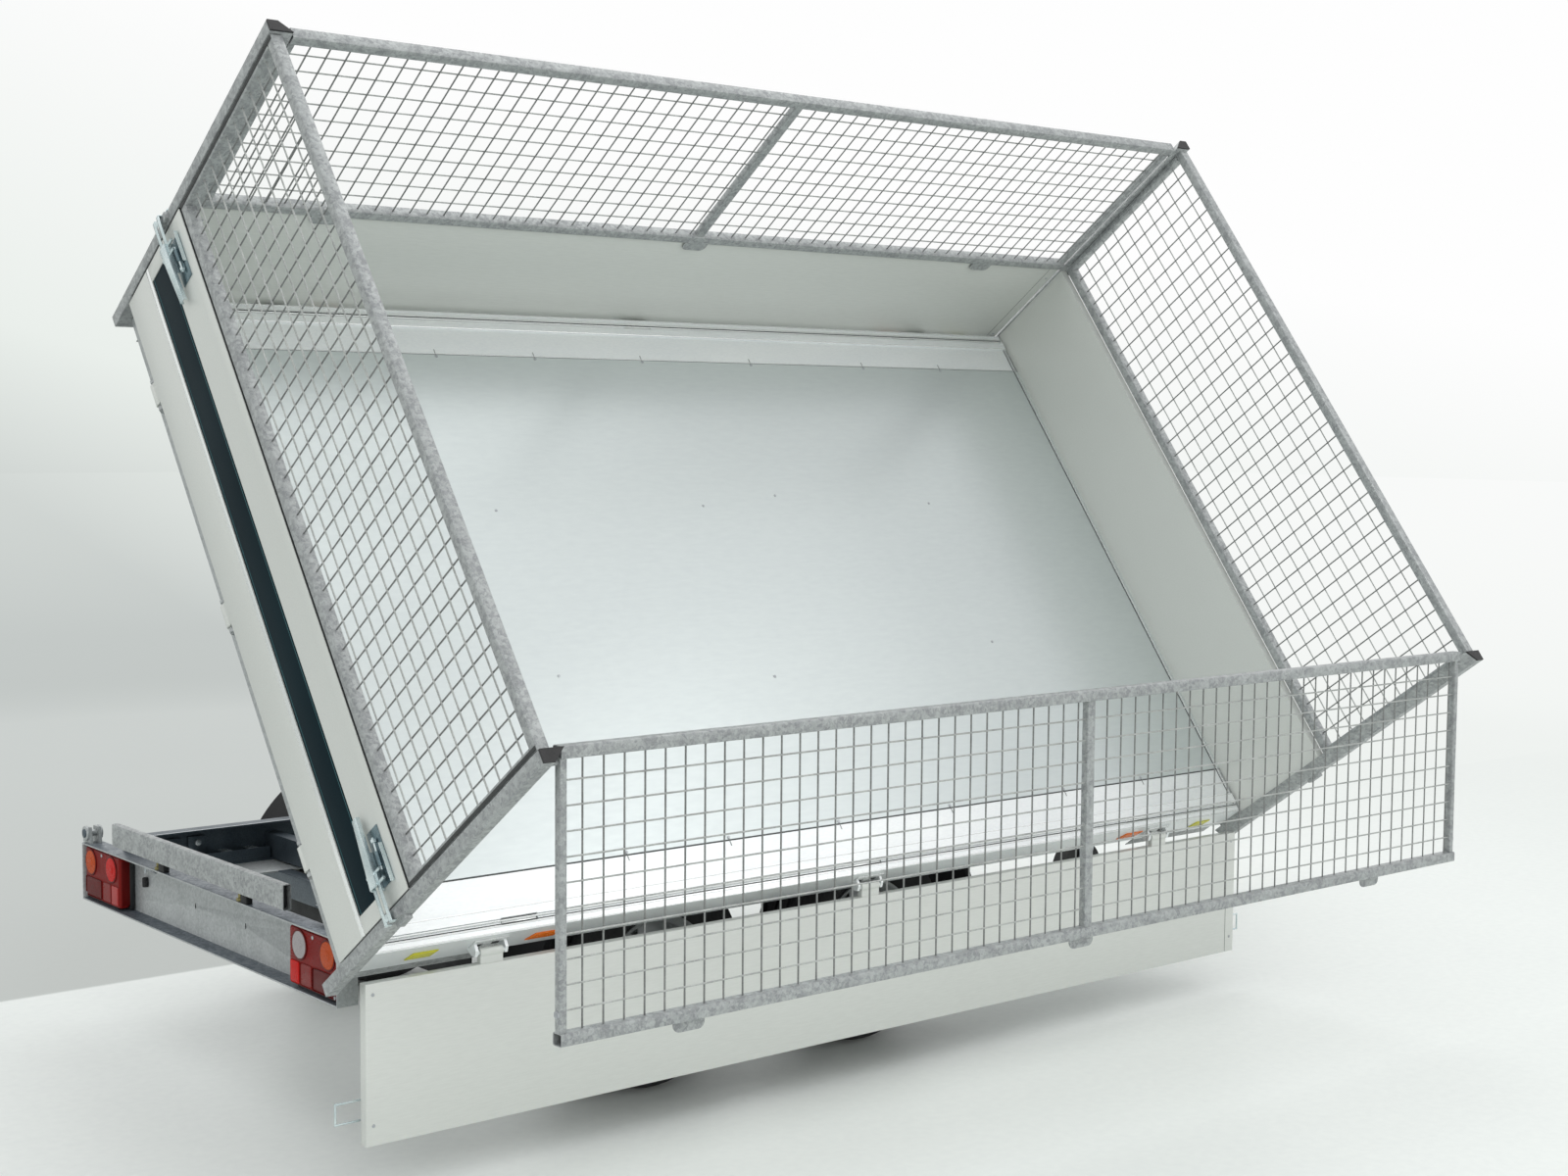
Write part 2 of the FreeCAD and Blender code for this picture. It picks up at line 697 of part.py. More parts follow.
# Power pack: a box with a lid lip between the drawbar beams, on the drawbar
tank_z = drawbar_top + tray_thick
tank_y = (-tank_width / 2, tank_width / 2)
pack = joined([box(tank_x, tank_y, (tank_z, tank_z + tank_height)),
               box((tank_x[0] - 8, tank_x[1] + 8), (tank_y[0] - 8, tank_y[1] + 8),
                   (tank_z + tank_height - 50, tank_z + tank_height))])
keep("power_pack", pack)

# Bed frame: cross tubes, two spines over the pivots, corner sockets, pivot legs and the cylinder's lug
edge_inner = half_width - floor_strip
rail_face = half_width - post_depth - edge_setback
frame_top = floor_height - floor_sheet
tube_z = (frame_top - cross_tube, frame_top)
frame_low = floor_height - frame_depth


def post_outline():
    right = -half_width
    return [(0, right), (post_back - post_depth, right), (post_back, right + post_depth),
            (0, right + post_depth)]


def hinge_ear(face, pin):
    """The outline of an ear that reaches from a face to just past a hinge pin."""
    nose = pin + math.copysign(ear_nose, pin - face)
    return [(face, hinge_z + ear_rise), (pin, hinge_z + ear_waist), (nose, hinge_z), (pin, hinge_z - ear_waist),
            (face, hinge_z - ear_drop)]


def ear_spans(place):
    """Where the two ears of a hinge stand, and the length of the pin through them."""
    spans = [(place + way * hinge_width / 2 - ear_wall / 2, place + way * hinge_width / 2 + ear_wall / 2)
             for way in (-1, 1)]
    return spans, (spans[0][0], spans[1][1])


def edge_rail(side):
    """The outer edge of the floor: a strip, an outer face with hinge brackets and an inner flange."""
    outer, inner = rail_face, edge_inner
    x = (post_back + 2, bed_length - post_back - 2)
    top = box(x, (inner, outer), (floor_height - frame_wall, floor_height))
    face = box(x, (outer - frame_wall, outer), (frame_low, floor_height))
    foot = box(x, (outer - edge_foot, outer), (frame_low, frame_low + frame_wall))
    band = box(x, (outer - edge_band_in, outer - edge_band_out), (floor_height, floor_height + edge_band_rise))
    rail = joined([top, face, foot, band])
    slots = [box((place - lash_length / 2, place + lash_length / 2),
                 (half_width - lash_inset - lash_width / 2, half_width - lash_inset + lash_width / 2),
                 (floor_height - 20, floor_height + 20)) for place in lash_places]
    rail = rail.cut(Part.makeCompound(slots))
    pin_y = half_width - hinge_inset
    brackets = []
    for place in hinge_places:
        spans, pin_span = ear_spans(place)
        brackets += [prism("x", hinge_ear(outer, pin_y), low, high) for low, high in spans]
        brackets.append(rod(V(pin_span[0], pin_y, hinge_z), V(pin_span[1], pin_y, hinge_z), hinge_pin))
    rail = joined([rail] + brackets)
    return rail if side > 0 else across(rail)


keep("edge_rail_left", tipped(edge_rail(1)))
keep("edge_rail_right", tipped(edge_rail(-1)))

members = []
cross_first = frame_end + cross_tube / 2
cross_step = (bed_length - 2 * cross_first) / (cross_tube_count - 1)
spine_y = (edge_inner - spine_width, edge_inner)
for i in range(cross_tube_count):
    x = cross_first + i * cross_step
    tube_x = (x - cross_tube / 2, x + cross_tube / 2)
    members.append(square_tube("y", tube_x, (-spine_y[0], spine_y[0]), tube_z, cross_tube_wall))
spine_bottom = frame_top - spine_height
spine = square_tube("x", (frame_end, bed_length - frame_end), spine_y, (spine_bottom, frame_top), frame_wall)
members += [spine, across(spine)]


def pivot_leg(x, side):
    """The right legs are closed eyes; the left ones are hooks that lift off their pins."""
    y = side * pivot_y
    leg = prism("x", [(y - leg_width / 2, spine_bottom), (y + leg_width / 2, spine_bottom),
                      (y + pivot_eye, pivot_z), (y - pivot_eye, pivot_z)],
                x - leg_thick / 2, x + leg_thick / 2)
    eye = rod(V(x - leg_thick / 2, y, pivot_z), V(x + leg_thick / 2, y, pivot_z), pivot_eye)
    hole = pivot_pin + 0.5
    bore = rod(V(x - leg_thick, y, pivot_z), V(x + leg_thick, y, pivot_z), hole)
    leg = leg.fuse(eye).removeSplitter().cut(bore)
    if side > 0:
        mouth = (pivot_z - pivot_eye - 1, pivot_z)
        leg = leg.cut(box((x - leg_thick, x + leg_thick), (y - hole, y + hole), mouth))
    return leg


members += [pivot_leg(x, side) for x in seat_places for side in (-1, 1)]

# The cylinder's lug hangs from two short carriers between the middle cross tubes
lug_z = floor_height - lug_drop
carrier_z = (frame_top - lug_carrier, frame_top)
carrier_x_span = (cylinder_x - cross_step / 2 + cross_tube / 2, cylinder_x + cross_step / 2 - cross_tube / 2)
for side in (-1, 1):
    members.append(box(carrier_x_span, sorted((side * lug_carrier, side * 2 * lug_carrier)), carrier_z))
lug_inner = eye_width / 2 + lug_clear
for way in (-1, 1):
    span = sorted((cylinder_x + way * lug_inner, cylinder_x + way * (lug_inner + lug_wall)))
    members.append(prism("x", [(-60, carrier_z[0]), (60, carrier_z[0]), (26, lug_z - 24), (-26, lug_z - 24)],
                         span[0], span[1]))

# Floor sheet between the edge strips
floor_x = (frame_end, bed_length - frame_end)
floor_y = edge_inner - floor_joint
keep("bed_floor", tipped(box(floor_x, (-floor_y, floor_y), (frame_top, floor_height))))

# Sills close both ends of the frame; the rear one carries the tailgate's hinge pins
sill_x = (frame_end - frame_wall, frame_end)
sill = box(sill_x, (-rail_face, rail_face), (frame_low, floor_height))
tail_hinge_places = (-edge_inner + 120, 0, edge_inner - 120)
tail_axis_x = hinge_inset
tail_brackets = []
for place in tail_hinge_places:
    spans, pin_span = ear_spans(place)
    tail_brackets += [prism("y", hinge_ear(sill_x[0], tail_axis_x), low, high) for low, high in spans]
    tail_brackets.append(rod(V(tail_axis_x, pin_span[0], hinge_z), V(tail_axis_x, pin_span[1], hinge_z), hinge_pin))
members += [joined([sill] + tail_brackets), end_for_end(sill)]
keep("bed_frame", *[tipped(piece) for piece in members])

# Corner posts, their plastic caps, and the sockets under them
post_z = (floor_height - post_foot, floor_height + post_height - cap_height)
socket_z = (floor_height - post_socket, floor_height - post_foot)


def at_corners(piece):
    return [piece, across(piece), end_for_end(piece), across(end_for_end(piece))]


mesh_pivot_x = mesh_inset + mesh_tube / 2
mesh_pivot_y = half_width - mesh_pivot_x
mesh_pivot_z = floor_height + post_height - mesh_pivot_drop
post = hollow_prism("z", post_outline(), post_z[0], post_z[1], post_wall)
side_pivot = V(post_back + mesh_swing_gap, -mesh_pivot_y, mesh_pivot_z)
end_pivot = V(mesh_pivot_x, -half_width + post_depth + mesh_swing_gap, mesh_pivot_z)
side_pin = rod(side_pivot - X_WAY * (post_back - post_wall), side_pivot + X_WAY * mesh_pin_reach, mesh_pin)
end_pin = rod(end_pivot - Y_WAY * (post_depth - post_wall), end_pivot + Y_WAY * mesh_pin_reach, mesh_pin)
catch_z = (floor_height + latch_rise + (latch_height - catch_height) / 2,
           floor_height + latch_rise + (latch_height + catch_height) / 2)
flat_width = post_back - post_depth
rear_catch = box((-catch_depth, 1), (-half_width + 2, -half_width + 2 + catch_width), catch_z)
side_catch = box(((flat_width - catch_width) / 2, (flat_width + catch_width) / 2),
                 (-half_width - catch_depth, -half_width + 1), catch_z)
post = joined([post, side_pin, end_pin, rear_catch, side_catch])
keep("corner_posts", *[tipped(piece) for piece in at_corners(post)])
cap = prism("z", post_outline(), post_z[1], post_z[1] + cap_height)
keep("post_caps", *[tipped(piece) for piece in at_corners(cap)])
socket = hollow_prism("z", post_outline(), socket_z[0], socket_z[1], post_wall)
gusset = box((frame_end, post_back + 2), (-half_width + post_depth, -edge_inner), (frame_low, floor_height))
keep("corner_sockets", *[tipped(piece) for piece in at_corners(joined([socket, gusset]))])

# Panels: hollow sheet panels with hinge straps on the bottom edge
wall_z = (floor_height + panel_bottom, floor_height + panel_top)
side_x = (post_back + panel_gap, bed_length - post_back - panel_gap)


def hinge_straps(places, low, high, axis):
    """Short straps that reach down from a panel to knuckles round the hinge pins."""
    straps = []
    for place in places:
        span = (place - hinge_width / 2 + 10, place + hinge_width / 2 - 10)
        middle = (low + high) / 2
        if axis == "x":
            strap = box(span, (middle - 8, middle + 8), (hinge_z, wall_z[0] + 1))
            knuckle = rod(V(span[0], middle, hinge_z), V(span[1], middle, hinge_z), hinge_pin + 5)
            bore = rod(V(span[0] - 1, middle, hinge_z), V(span[1] + 1, middle, hinge_z), hinge_pin + 0.5)
        else:
            strap = box((middle - 8, middle + 8), span, (hinge_z, wall_z[0] + 1))
            knuckle = rod(V(middle, span[0], hinge_z), V(middle, span[1], hinge_z), hinge_pin + 5)
            bore = rod(V(middle, span[0] - 1, hinge_z), V(middle, span[1] + 1, hinge_z), hinge_pin + 0.5)
        straps.append(strap.fuse(knuckle).cut(bore))
    return straps


def latch(depth):
    """A shut latch, drawn from a panel's end along X with its plate on Y = 0; its lever tapers inwards."""
    low, high = latch_inset, latch_inset + latch_length
    level = floor_height + latch_rise
    middle = level + latch_height / 2
    plate = box((low, high), (0, latch_plate), (level, level + latch_height))
    outline = [(low, 0), (high - latch_inset, 0), (high - latch_inset, depth / 2),
               (low + latch_length / 2, depth), (low, depth)]
    lever = prism("z", outline, middle - latch_lever / 2, middle + latch_lever / 2)
    return joined([plate, lever])


panel_y = (half_width - hinge_inset - panel_thick / 2, half_width - hinge_inset + panel_thick / 2)
side_latch = latch(side_latch_depth)
side_latch.translate(V(side_x[0], panel_y[1], 0))
left_panel = joined([box(side_x, panel_y, wall_z), side_latch, end_for_end(side_latch)]
                    + hinge_straps(hinge_places, panel_y[0], panel_y[1], "x"))
keep("dropside_left", tipped(left_panel))
hang_angle = 180 - tip_angle
right_hinge = V(0, -half_width + hinge_inset, hinge_z)
keep("dropside_right", tipped(turned(across(left_panel), right_hinge, X_WAY, hang_angle)))

tail_x = (tail_axis_x - panel_thick / 2, tail_axis_x + panel_thick / 2)
tail_y = half_width - post_depth - panel_gap
tail_panel = box(tail_x, (-tail_y, tail_y), wall_z)
recess = box((tail_x[0] - 1, tail_x[0] + band_depth), (-tail_y - 1, tail_y + 1),
             (floor_height + band_bottom, floor_height + band_top))
ridge = box((tail_x[0] - 1, tail_x[0] + ridge_depth), (-tail_y - 1, tail_y + 1),
            (floor_height + ridge_bottom, floor_height + ridge_bottom + ridge_width))
tail_panel = tail_panel.cut(recess).cut(ridge)
tail_latch = turned(latch(tail_latch_depth), V(0, 0, 0), Z_WAY, 90)
tail_latch.translate(V(tail_x[0], -tail_y, 0))
keep("tailgate", tipped(joined([tail_panel, tail_latch, across(tail_latch)]
                               + hinge_straps(tail_hinge_places, tail_x[0], tail_x[1], "y"))))

front_x = (bed_length - front_wall_inset - panel_thick, bed_length - front_wall_inset)
keep("front_wall", tipped(box(front_x, (-half_width + post_depth, half_width - post_depth),
                              (floor_height, wall_z[1]))))


# Mesh extensions: a tube frame with welded wires
def mesh_panel(length, height, with_middle):
    """Drawn from the origin along X and up Z, with Y through its thickness."""
    rails = [square_tube("x", (0, length), (0, mesh_tube), (z, z + mesh_tube), mesh_tube_wall)
             for z in (0, height - mesh_tube)]
    stile_z = (mesh_tube, height - mesh_tube)
    stiles = [square_tube("z", (x, x + mesh_tube), (0, mesh_tube), stile_z, mesh_tube_wall)
              for x in (0, length - mesh_tube)]
    if with_middle:
        stiles.append(square_tube("z", ((length - mid_stile) / 2, (length + mid_stile) / 2), (0, mesh_tube),
                                  stile_z, mesh_tube_wall))
    wires = []
    middle = mesh_tube / 2
    near = (middle - mesh_layer_gap / 2 - mesh_wire, middle - mesh_layer_gap / 2)
    far = (middle + mesh_layer_gap / 2, middle + mesh_layer_gap / 2 + mesh_wire)
    bays = [(mesh_tube, length - mesh_tube)]
    if with_middle:
        bays = [(mesh_tube, (length - mid_stile) / 2), ((length + mid_stile) / 2, length - mesh_tube)]
    for low, high in bays:
        count = int((high - low) / mesh_pitch)
        start = low + (high - low - (count - 1) * mesh_pitch) / 2
        for i in range(count):
            x = start + i * mesh_pitch
            wires.append(box((x - mesh_wire / 2, x + mesh_wire / 2), near, stile_z))
        rows = int((stile_z[1] - stile_z[0]) / mesh_pitch)
        base = stile_z[0] + (stile_z[1] - stile_z[0] - (rows - 1) * mesh_pitch) / 2
        for i in range(rows):
            z = base + i * mesh_pitch
            wires.append(box((low, high), far, (z - mesh_wire / 2, z + mesh_wire / 2)))
    return joined(rails + stiles + wires)


mesh_low = floor_height + panel_top + mesh_bottom_gap
mesh_height = post_height - panel_top - mesh_bottom_gap - mesh_top_gap
pin_height = mesh_pivot_z - mesh_low


def on_pins(panel, length):
    """Holes in both end tubes of a panel, for the pivot pins of the posts."""
    depth = mesh_pin_reach + mesh_swing_gap + mesh_pin_end_gap
    middle = mesh_tube / 2
    holes = [rod(V(x - depth, middle, pin_height), V(x + depth, middle, pin_height), mesh_pin_hole)
             for x in (0, length)]
    return panel.cut(Part.makeCompound(holes))


side_mesh_length = bed_length - 2 * (post_back + mesh_swing_gap)
side_mesh = on_pins(mesh_panel(side_mesh_length, mesh_height, True), side_mesh_length)
side_mesh.translate(V(post_back + mesh_swing_gap, half_width - mesh_inset - mesh_tube, mesh_low))
keep("mesh_left", tipped(side_mesh))
right_mesh_pivot = V(0, -mesh_pivot_y, mesh_pivot_z)
keep("mesh_right", tipped(turned(across(side_mesh), right_mesh_pivot, X_WAY, -tip_angle)))


def end_panel(panel, length):
    """Stands a panel across the back of the bed."""
    panel = turned(panel, V(0, 0, 0), Z_WAY, 90)
    panel.translate(V(mesh_inset + mesh_tube, -length / 2, mesh_low))
    return panel


front_mesh_length = bed_width - 2 * post_depth
rear_mesh_length = front_mesh_length - 2 * mesh_swing_gap
rear_mesh = on_pins(mesh_panel(rear_mesh_length, mesh_height, False), rear_mesh_length)
keep("mesh_rear", tipped(end_panel(rear_mesh, rear_mesh_length)))
front_mesh = on_pins(mesh_panel(front_mesh_length, mesh_height, False), front_mesh_length)
front_mesh = end_panel(front_mesh, front_mesh_length)
keep("mesh_front", tipped(end_for_end(front_mesh)))

# Tipping cylinder: barrel with trunnions, two tube stages and a rod with its eye, leaning to the lug
gimbal = V(cylinder_x, 0, gimbal_height)
lug_level = V(cylinder_x, 0, lug_z)


def tip_point(point):
    marker = Part.Vertex(point)
    return tipped(marker).Point


lug_tipped = tip_point(lug_level)
reach_down = (lug_level - gimbal).Length
reach_up = (lug_tipped - gimbal).Length
lean = math.degrees(math.atan2(-(lug_tipped.y - gimbal.y), lug_tipped.z - gimbal.z))
stage_travel = (reach_up - reach_down) / 3


def leaned(shape):
    moved = turned(shape, V(0, 0, 0), X_WAY, lean)
    moved.translate(gimbal)
    return moved


barrel = rod(V(0, 0, -barrel_below), V(0, 0, barrel_above), barrel_radius)
barrel = barrel.cut(rod(V(0, 0, -barrel_below + 12), V(0, 0, barrel_above + 1), barrel_radius - tube_wall))
barrel_pins = [rod(V(way * (barrel_radius - tube_wall / 2), 0, 0), V(way * ring_outer, 0, 0), trunnion_radius)
               for way in (-1, 1)]
keep("cylinder_barrel", leaned(joined([barrel] + barrel_pins)))
stage_radius = barrel_radius - tube_wall - stage_gap
for number in (1, 2, 3):
    low = -barrel_below + 14 + number * stage_travel
    high = barrel_above + number * (stage_step + stage_travel)
    if number < 3:
        stage = rod(V(0, 0, low), V(0, 0, high), stage_radius)
        stage = stage.cut(rod(V(0, 0, low - 1), V(0, 0, high + 1), stage_radius - tube_wall))
        keep("cylinder_stage_%d" % number, leaned(stage))
    else:
        eye_z = reach_up
        stem = rod(V(0, 0, low), V(0, 0, high), stage_radius)
        tongue = box((-eye_width / 2, eye_width / 2), (-eye_radius, eye_radius), (high - 1, eye_z))
        eye = rod(V(-eye_width / 2, 0, eye_z), V(eye_width / 2, 0, eye_z), eye_radius)
        pin = rod(V(-lug_inner + 0.3, 0, eye_z), V(lug_inner - 0.3, 0, eye_z), 12)
        keep("cylinder_rod", leaned(joined([stem, tongue, eye, pin])))
    stage_radius -= tube_wall + stage_gap

# The towing ball's centre becomes the origin, and each node is written to its own file
os.makedirs("parts", exist_ok=True)
for name, shape in nodes.items():
    placed = shape.copy()
    placed.translate(ball * -1)
    placed.exportStep("parts/%s.step" % name)
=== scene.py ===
"""A tandem-axle tipping trailer with mesh sides, its bed tipped to the right."""
import math

import bmesh
import bpy
from mathutils import Matrix, Vector


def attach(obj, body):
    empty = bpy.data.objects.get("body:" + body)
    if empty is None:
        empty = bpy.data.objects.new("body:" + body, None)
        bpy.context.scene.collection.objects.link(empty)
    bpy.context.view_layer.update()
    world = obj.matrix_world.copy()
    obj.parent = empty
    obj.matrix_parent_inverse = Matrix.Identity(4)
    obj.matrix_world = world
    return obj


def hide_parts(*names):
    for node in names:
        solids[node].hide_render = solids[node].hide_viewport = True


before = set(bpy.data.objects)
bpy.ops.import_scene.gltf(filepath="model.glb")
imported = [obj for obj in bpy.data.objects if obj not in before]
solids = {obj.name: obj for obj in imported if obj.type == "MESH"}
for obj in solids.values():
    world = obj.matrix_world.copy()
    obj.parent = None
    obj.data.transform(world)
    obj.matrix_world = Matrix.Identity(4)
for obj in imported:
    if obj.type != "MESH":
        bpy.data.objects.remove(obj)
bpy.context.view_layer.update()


# Chassis
# The ladder chassis is bent and welded from steel sheet, then dipped whole in molten zinc.
# The zinc sets in soft patches of light and dark grey with small crystals; the long rails and the parts
# between them take a darker copy, painted shade inside the chassis.
def tone(red, green, blue):
    """A colour given on the usual scale of 0 to 255."""
    def linear(value):
        share = value / 255
        return share / 12.92 if share <= 0.04045 else ((share + 0.055) / 1.055) ** 2.4
    return (linear(red), linear(green), linear(blue), 1.0)


def wired(tree, kind, inputs, **settings):
    """Adds a shader node; each input takes a plain value or the output that feeds it."""
    made = tree.nodes.new("ShaderNode" + kind)
    for name, value in settings.items():
        setattr(made, name, value)
    for socket, value in inputs.items():
        if isinstance(value, bpy.types.NodeSocket):
            tree.links.new(value, made.inputs[socket])
        else:
            made.inputs[socket].default_value = value
    return made


def patchy(name, dark, light, patch, grain, rough, metal=0.0, bump=0.1, stretch=(1, 1, 1), crystal=0.0):
    """A surface in two tones: soft patches, a fine grain over them, and the grain again as relief."""
    made = bpy.data.materials.new(name)
    made.use_nodes = True
    tree = made.node_tree
    shader = tree.nodes["Principled BSDF"]
    shader.inputs["Metallic"].default_value = metal
    place = wired(tree, "TexCoord", {})
    pulled = wired(tree, "Mapping", {"Vector": place.outputs["Object"], "Scale": stretch}).outputs["Vector"]
    patches = wired(tree, "TexNoise", {"Vector": pulled, "Scale": patch, "Detail": 4.0})
    fine = wired(tree, "TexNoise", {"Vector": pulled, "Scale": grain, "Detail": 3.0})
    half = wired(tree, "Math", {0: patches.outputs["Fac"], 1: 0.5}, operation="MULTIPLY")
    both = wired(tree, "Math", {0: fine.outputs["Fac"], 1: 0.5, 2: half.outputs[0]}, operation="MULTIPLY_ADD")
    amount = both.outputs[0]
    if crystal:
        flakes = wired(tree, "TexVoronoi", {"Vector": pulled, "Scale": crystal})
        shade = wired(tree, "SeparateColor", {"Color": flakes.outputs["Color"]})
        centred = wired(tree, "Math", {0: amount, 1: 0.14}, operation="SUBTRACT")
        mixed = wired(tree, "Math", {0: shade.outputs[0], 1: 0.28, 2: centred.outputs[0]},
                      operation="MULTIPLY_ADD")
        amount = mixed.outputs[0]
    colours = wired(tree, "ValToRGB", {"Fac": amount})
    for stop, position, colour in zip(colours.color_ramp.elements, (0.32, 0.68), (dark, light)):
        stop.position = position
        stop.color = colour
    dulled = wired(tree, "MapRange", {"Value": amount, "From Min": 0.3, "From Max": 0.7,
                                      "To Min": rough[1], "To Max": rough[0]})
    relief = wired(tree, "Bump", {"Height": fine.outputs["Fac"], "Strength": bump, "Distance": 0.001})
    tree.links.new(colours.outputs["Color"], shader.inputs["Base Color"])
    tree.links.new(dulled.outputs["Result"], shader.inputs["Roughness"])
    tree.links.new(relief.outputs["Normal"], shader.inputs["Normal"])
    return made


def dress(node, finish):
    """Gives a solid of the frame its finish."""
    for place in solids[node].material_slots:
        place.material = finish


dipped_steel = patchy("dipped_steel", tone(138, 141, 142), tone(174, 178, 177), 34, 300, (0.34, 0.5),
                      metal=0.35, bump=0.12, crystal=130)
chassis_steel = patchy("chassis_steel", tone(158, 162, 162), tone(180, 184, 184), 12, 320, (0.34, 0.48),
                       metal=0.4, bump=0.08, crystal=150)
# A darker copy of the chassis zinc: painted shade on the rails, cross members, cradle and rail brackets.
rail_shade_steel = patchy("rail_shade_steel", tone(66, 77, 85), tone(94, 104, 112), 12, 240, (0.3, 0.46),
                    metal=0.65, bump=0.08)
for node in ("front_beam", "pivot_seats", "drawbar", "axle_rear", "axle_front"):
    dress(node, chassis_steel)
for node in ("side_rail_left", "side_rail_right", "cross_members", "cylinder_cradle"):
    dress(node, rail_shade_steel)


# Rest bar
# An open rectangular tube bolted over the rear beam on two short feet; the lowered bed rests on it.
# Trailer places, here and below, run forward from the back of the bed, to its left and up from the ground.
ball = Vector((4.450, 0, 0.470))
on_chassis = Matrix.Translation(-ball)


def coloured(shape, before, finish):
    """Gives the faces made since then their finish."""
    fresh = [f for f in shape.faces if f not in before]
    for face in fresh:
        face.material_index = finish
    return fresh


def rounded(shape, edges, amount, steps=2):
    """Rounds the given edges, keeping each face's finish."""
    bmesh.ops.bevel(shape, geom=edges, offset=amount, segments=steps, affect="EDGES", profile=0.5,
                    material=-1)


def block(shape, x, y, z, edge=0.0, finish=0, steps=2):
    """A bar or plate between two places along each way, with its edges rounded."""
    before = set(shape.faces)
    centre = Vector(((x[0] + x[1]) / 2, (y[0] + y[1]) / 2, (z[0] + z[1]) / 2))
    size = (abs(x[1] - x[0]), abs(y[1] - y[0]), abs(z[1] - z[0]), 1)
    made = bmesh.ops.create_cube(shape, size=1.0, matrix=Matrix.Translation(centre) @ Matrix.Diagonal(size))
    if edge:
        rounded(shape, list({e for v in made["verts"] for e in v.link_edges}), edge, steps)
    return coloured(shape, before, finish)


def round_bar(shape, start, end, radius, sides=12, finish=0, edge=0.0):
    """A round bar between two points, with its rims rounded."""
    before = set(shape.faces)
    start, end = Vector(start), Vector(end)
    way = end - start
    stand = Matrix.Translation((start + end) / 2) @ way.to_track_quat("Z", "Y").to_matrix().to_4x4()
    made = bmesh.ops.create_cone(shape, cap_ends=True, cap_tris=False, segments=sides, radius1=radius,
                                 radius2=radius, depth=way.length, matrix=stand)
    if edge:
        rounded(shape, [e for e in {e for v in made["verts"] for e in v.link_edges}
                        if any(len(f.verts) > 4 for f in e.link_faces)], edge)
    return coloured(shape, before, finish)


def tube_bar(shape, x, y, z, along):
    """A square or flat tube with rounded corners, open at both ends."""
    before = set(shape.faces)
    way = "xyz".index(along)
    low, high = Vector((x[0], y[0], z[0])), Vector((x[1], y[1], z[1]))
    made = bmesh.ops.create_cube(shape, size=1.0, matrix=Matrix.Translation((low + high) / 2)
                                 @ Matrix.Diagonal((*(high - low), 1)))
    edges = list({e for v in made["verts"] for e in v.link_edges})
    ends = [f for f in {f for e in edges for f in e.link_faces}
            if abs(f.calc_center_median()[way] - (low[way] + high[way]) / 2) > 1e-6]
    long_ways = [e for e in edges if abs(e.verts[0].co[way] - e.verts[1].co[way]) > 1e-6]
    bmesh.ops.delete(shape, geom=ends, context="FACES_ONLY")
    rounded(shape, long_ways, 0.0035)
    skin = [f for f in shape.faces if f not in before]
    bmesh.ops.recalc_face_normals(shape, faces=skin)
    bmesh.ops.solidify(shape, geom=skin, thickness=0.002)
    coloured(shape, before, 0)


def fitted(name, shape, finishes, body, place=on_chassis, stands_for=()):
    """Makes a modelled shape a named piece, at its place on the trailer."""
    bmesh.ops.transform(shape, matrix=place, verts=shape.verts)
    bmesh.ops.recalc_face_normals(shape, faces=shape.faces)
    for face in shape.faces:
        face.smooth = True
    for edge in shape.edges:
        edge.smooth = len(edge.link_faces) == 2 and edge.calc_face_angle(0.0) < math.radians(33)
    mesh = bpy.data.meshes.new(name)
    shape.to_mesh(mesh)
    shape.free()
    made = bpy.data.objects.new(name, mesh)
    bpy.context.scene.collection.objects.link(made)
    for finish in finishes:
        mesh.materials.append(finish)
    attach(made, body)
    if stands_for:
        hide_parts(*stands_for)


bolt_yellow = patchy("bolt_yellow", tone(104, 98, 62), tone(160, 150, 100), 60, 400, (0.3, 0.45),
                     metal=0.6, bump=0.05)
# Near black: painted shade inside the rest bar's tube, in the number plate slits and behind the cross
# channel; also the rubber plug's own black.
shade_and_rubber_black = patchy("shade_and_rubber_black", tone(18, 19, 20), tone(34, 36, 37), 20, 300, (0.6, 0.8), bump=0.1)
beam_top = 0.518
bar_foot, bar_top = 0.541, 0.604
rest_bar = bmesh.new()
tube_bar(rest_bar, (0.134, 0.156), (-0.488, 0.522), (bar_foot, bar_top), "y")
# A dark block inside the open tube: painted shade.
block(rest_bar, (0.1362, 0.1538), (-0.470, 0.504), (bar_foot + 0.0024, bar_top - 0.0024), 0, 2)
for y in (-0.262, 0.222):
    bolt_y = y + 0.034
    block(rest_bar, (0.141, 0.158), (y - 0.016, y + 0.016), (beam_top, bar_foot + 0.0005), 0.001, 2)
    round_bar(rest_bar, (0.149, bolt_y, beam_top), (0.149, bolt_y, 0.5265), 0.0095, 6, 1, 0.001)
    round_bar(rest_bar, (0.149, bolt_y, 0.5265), (0.149, bolt_y, 0.537), 0.0052, 12, 1, 0.001)
fitted("rest_bar_dressed", rest_bar, [dipped_steel, bolt_yellow, shade_and_rubber_black], "chassis",
       stands_for=("rest_bar",))


# Rear beam
# A channel of folded sheet, its web set forward between two flanges that shelter the lamps. Two slits
# in the web take the number plate, and a bent wire hook and a rubber plug hang below its top flange.
def merged(node, place):
    """A copy of a solid of the frame, its triangles merged into flat faces, moved to trailer places."""
    shape = bmesh.new()
    shape.from_mesh(solids[node].data)
    bmesh.ops.transform(shape, matrix=place.inverted(), verts=shape.verts)
    bmesh.ops.remove_doubles(shape, verts=shape.verts, dist=2e-5)
    bmesh.ops.dissolve_limit(shape, angle_limit=math.radians(0.6), verts=shape.verts, edges=shape.edges)
    for face in shape.faces:
        face.material_index = 0
    return shape


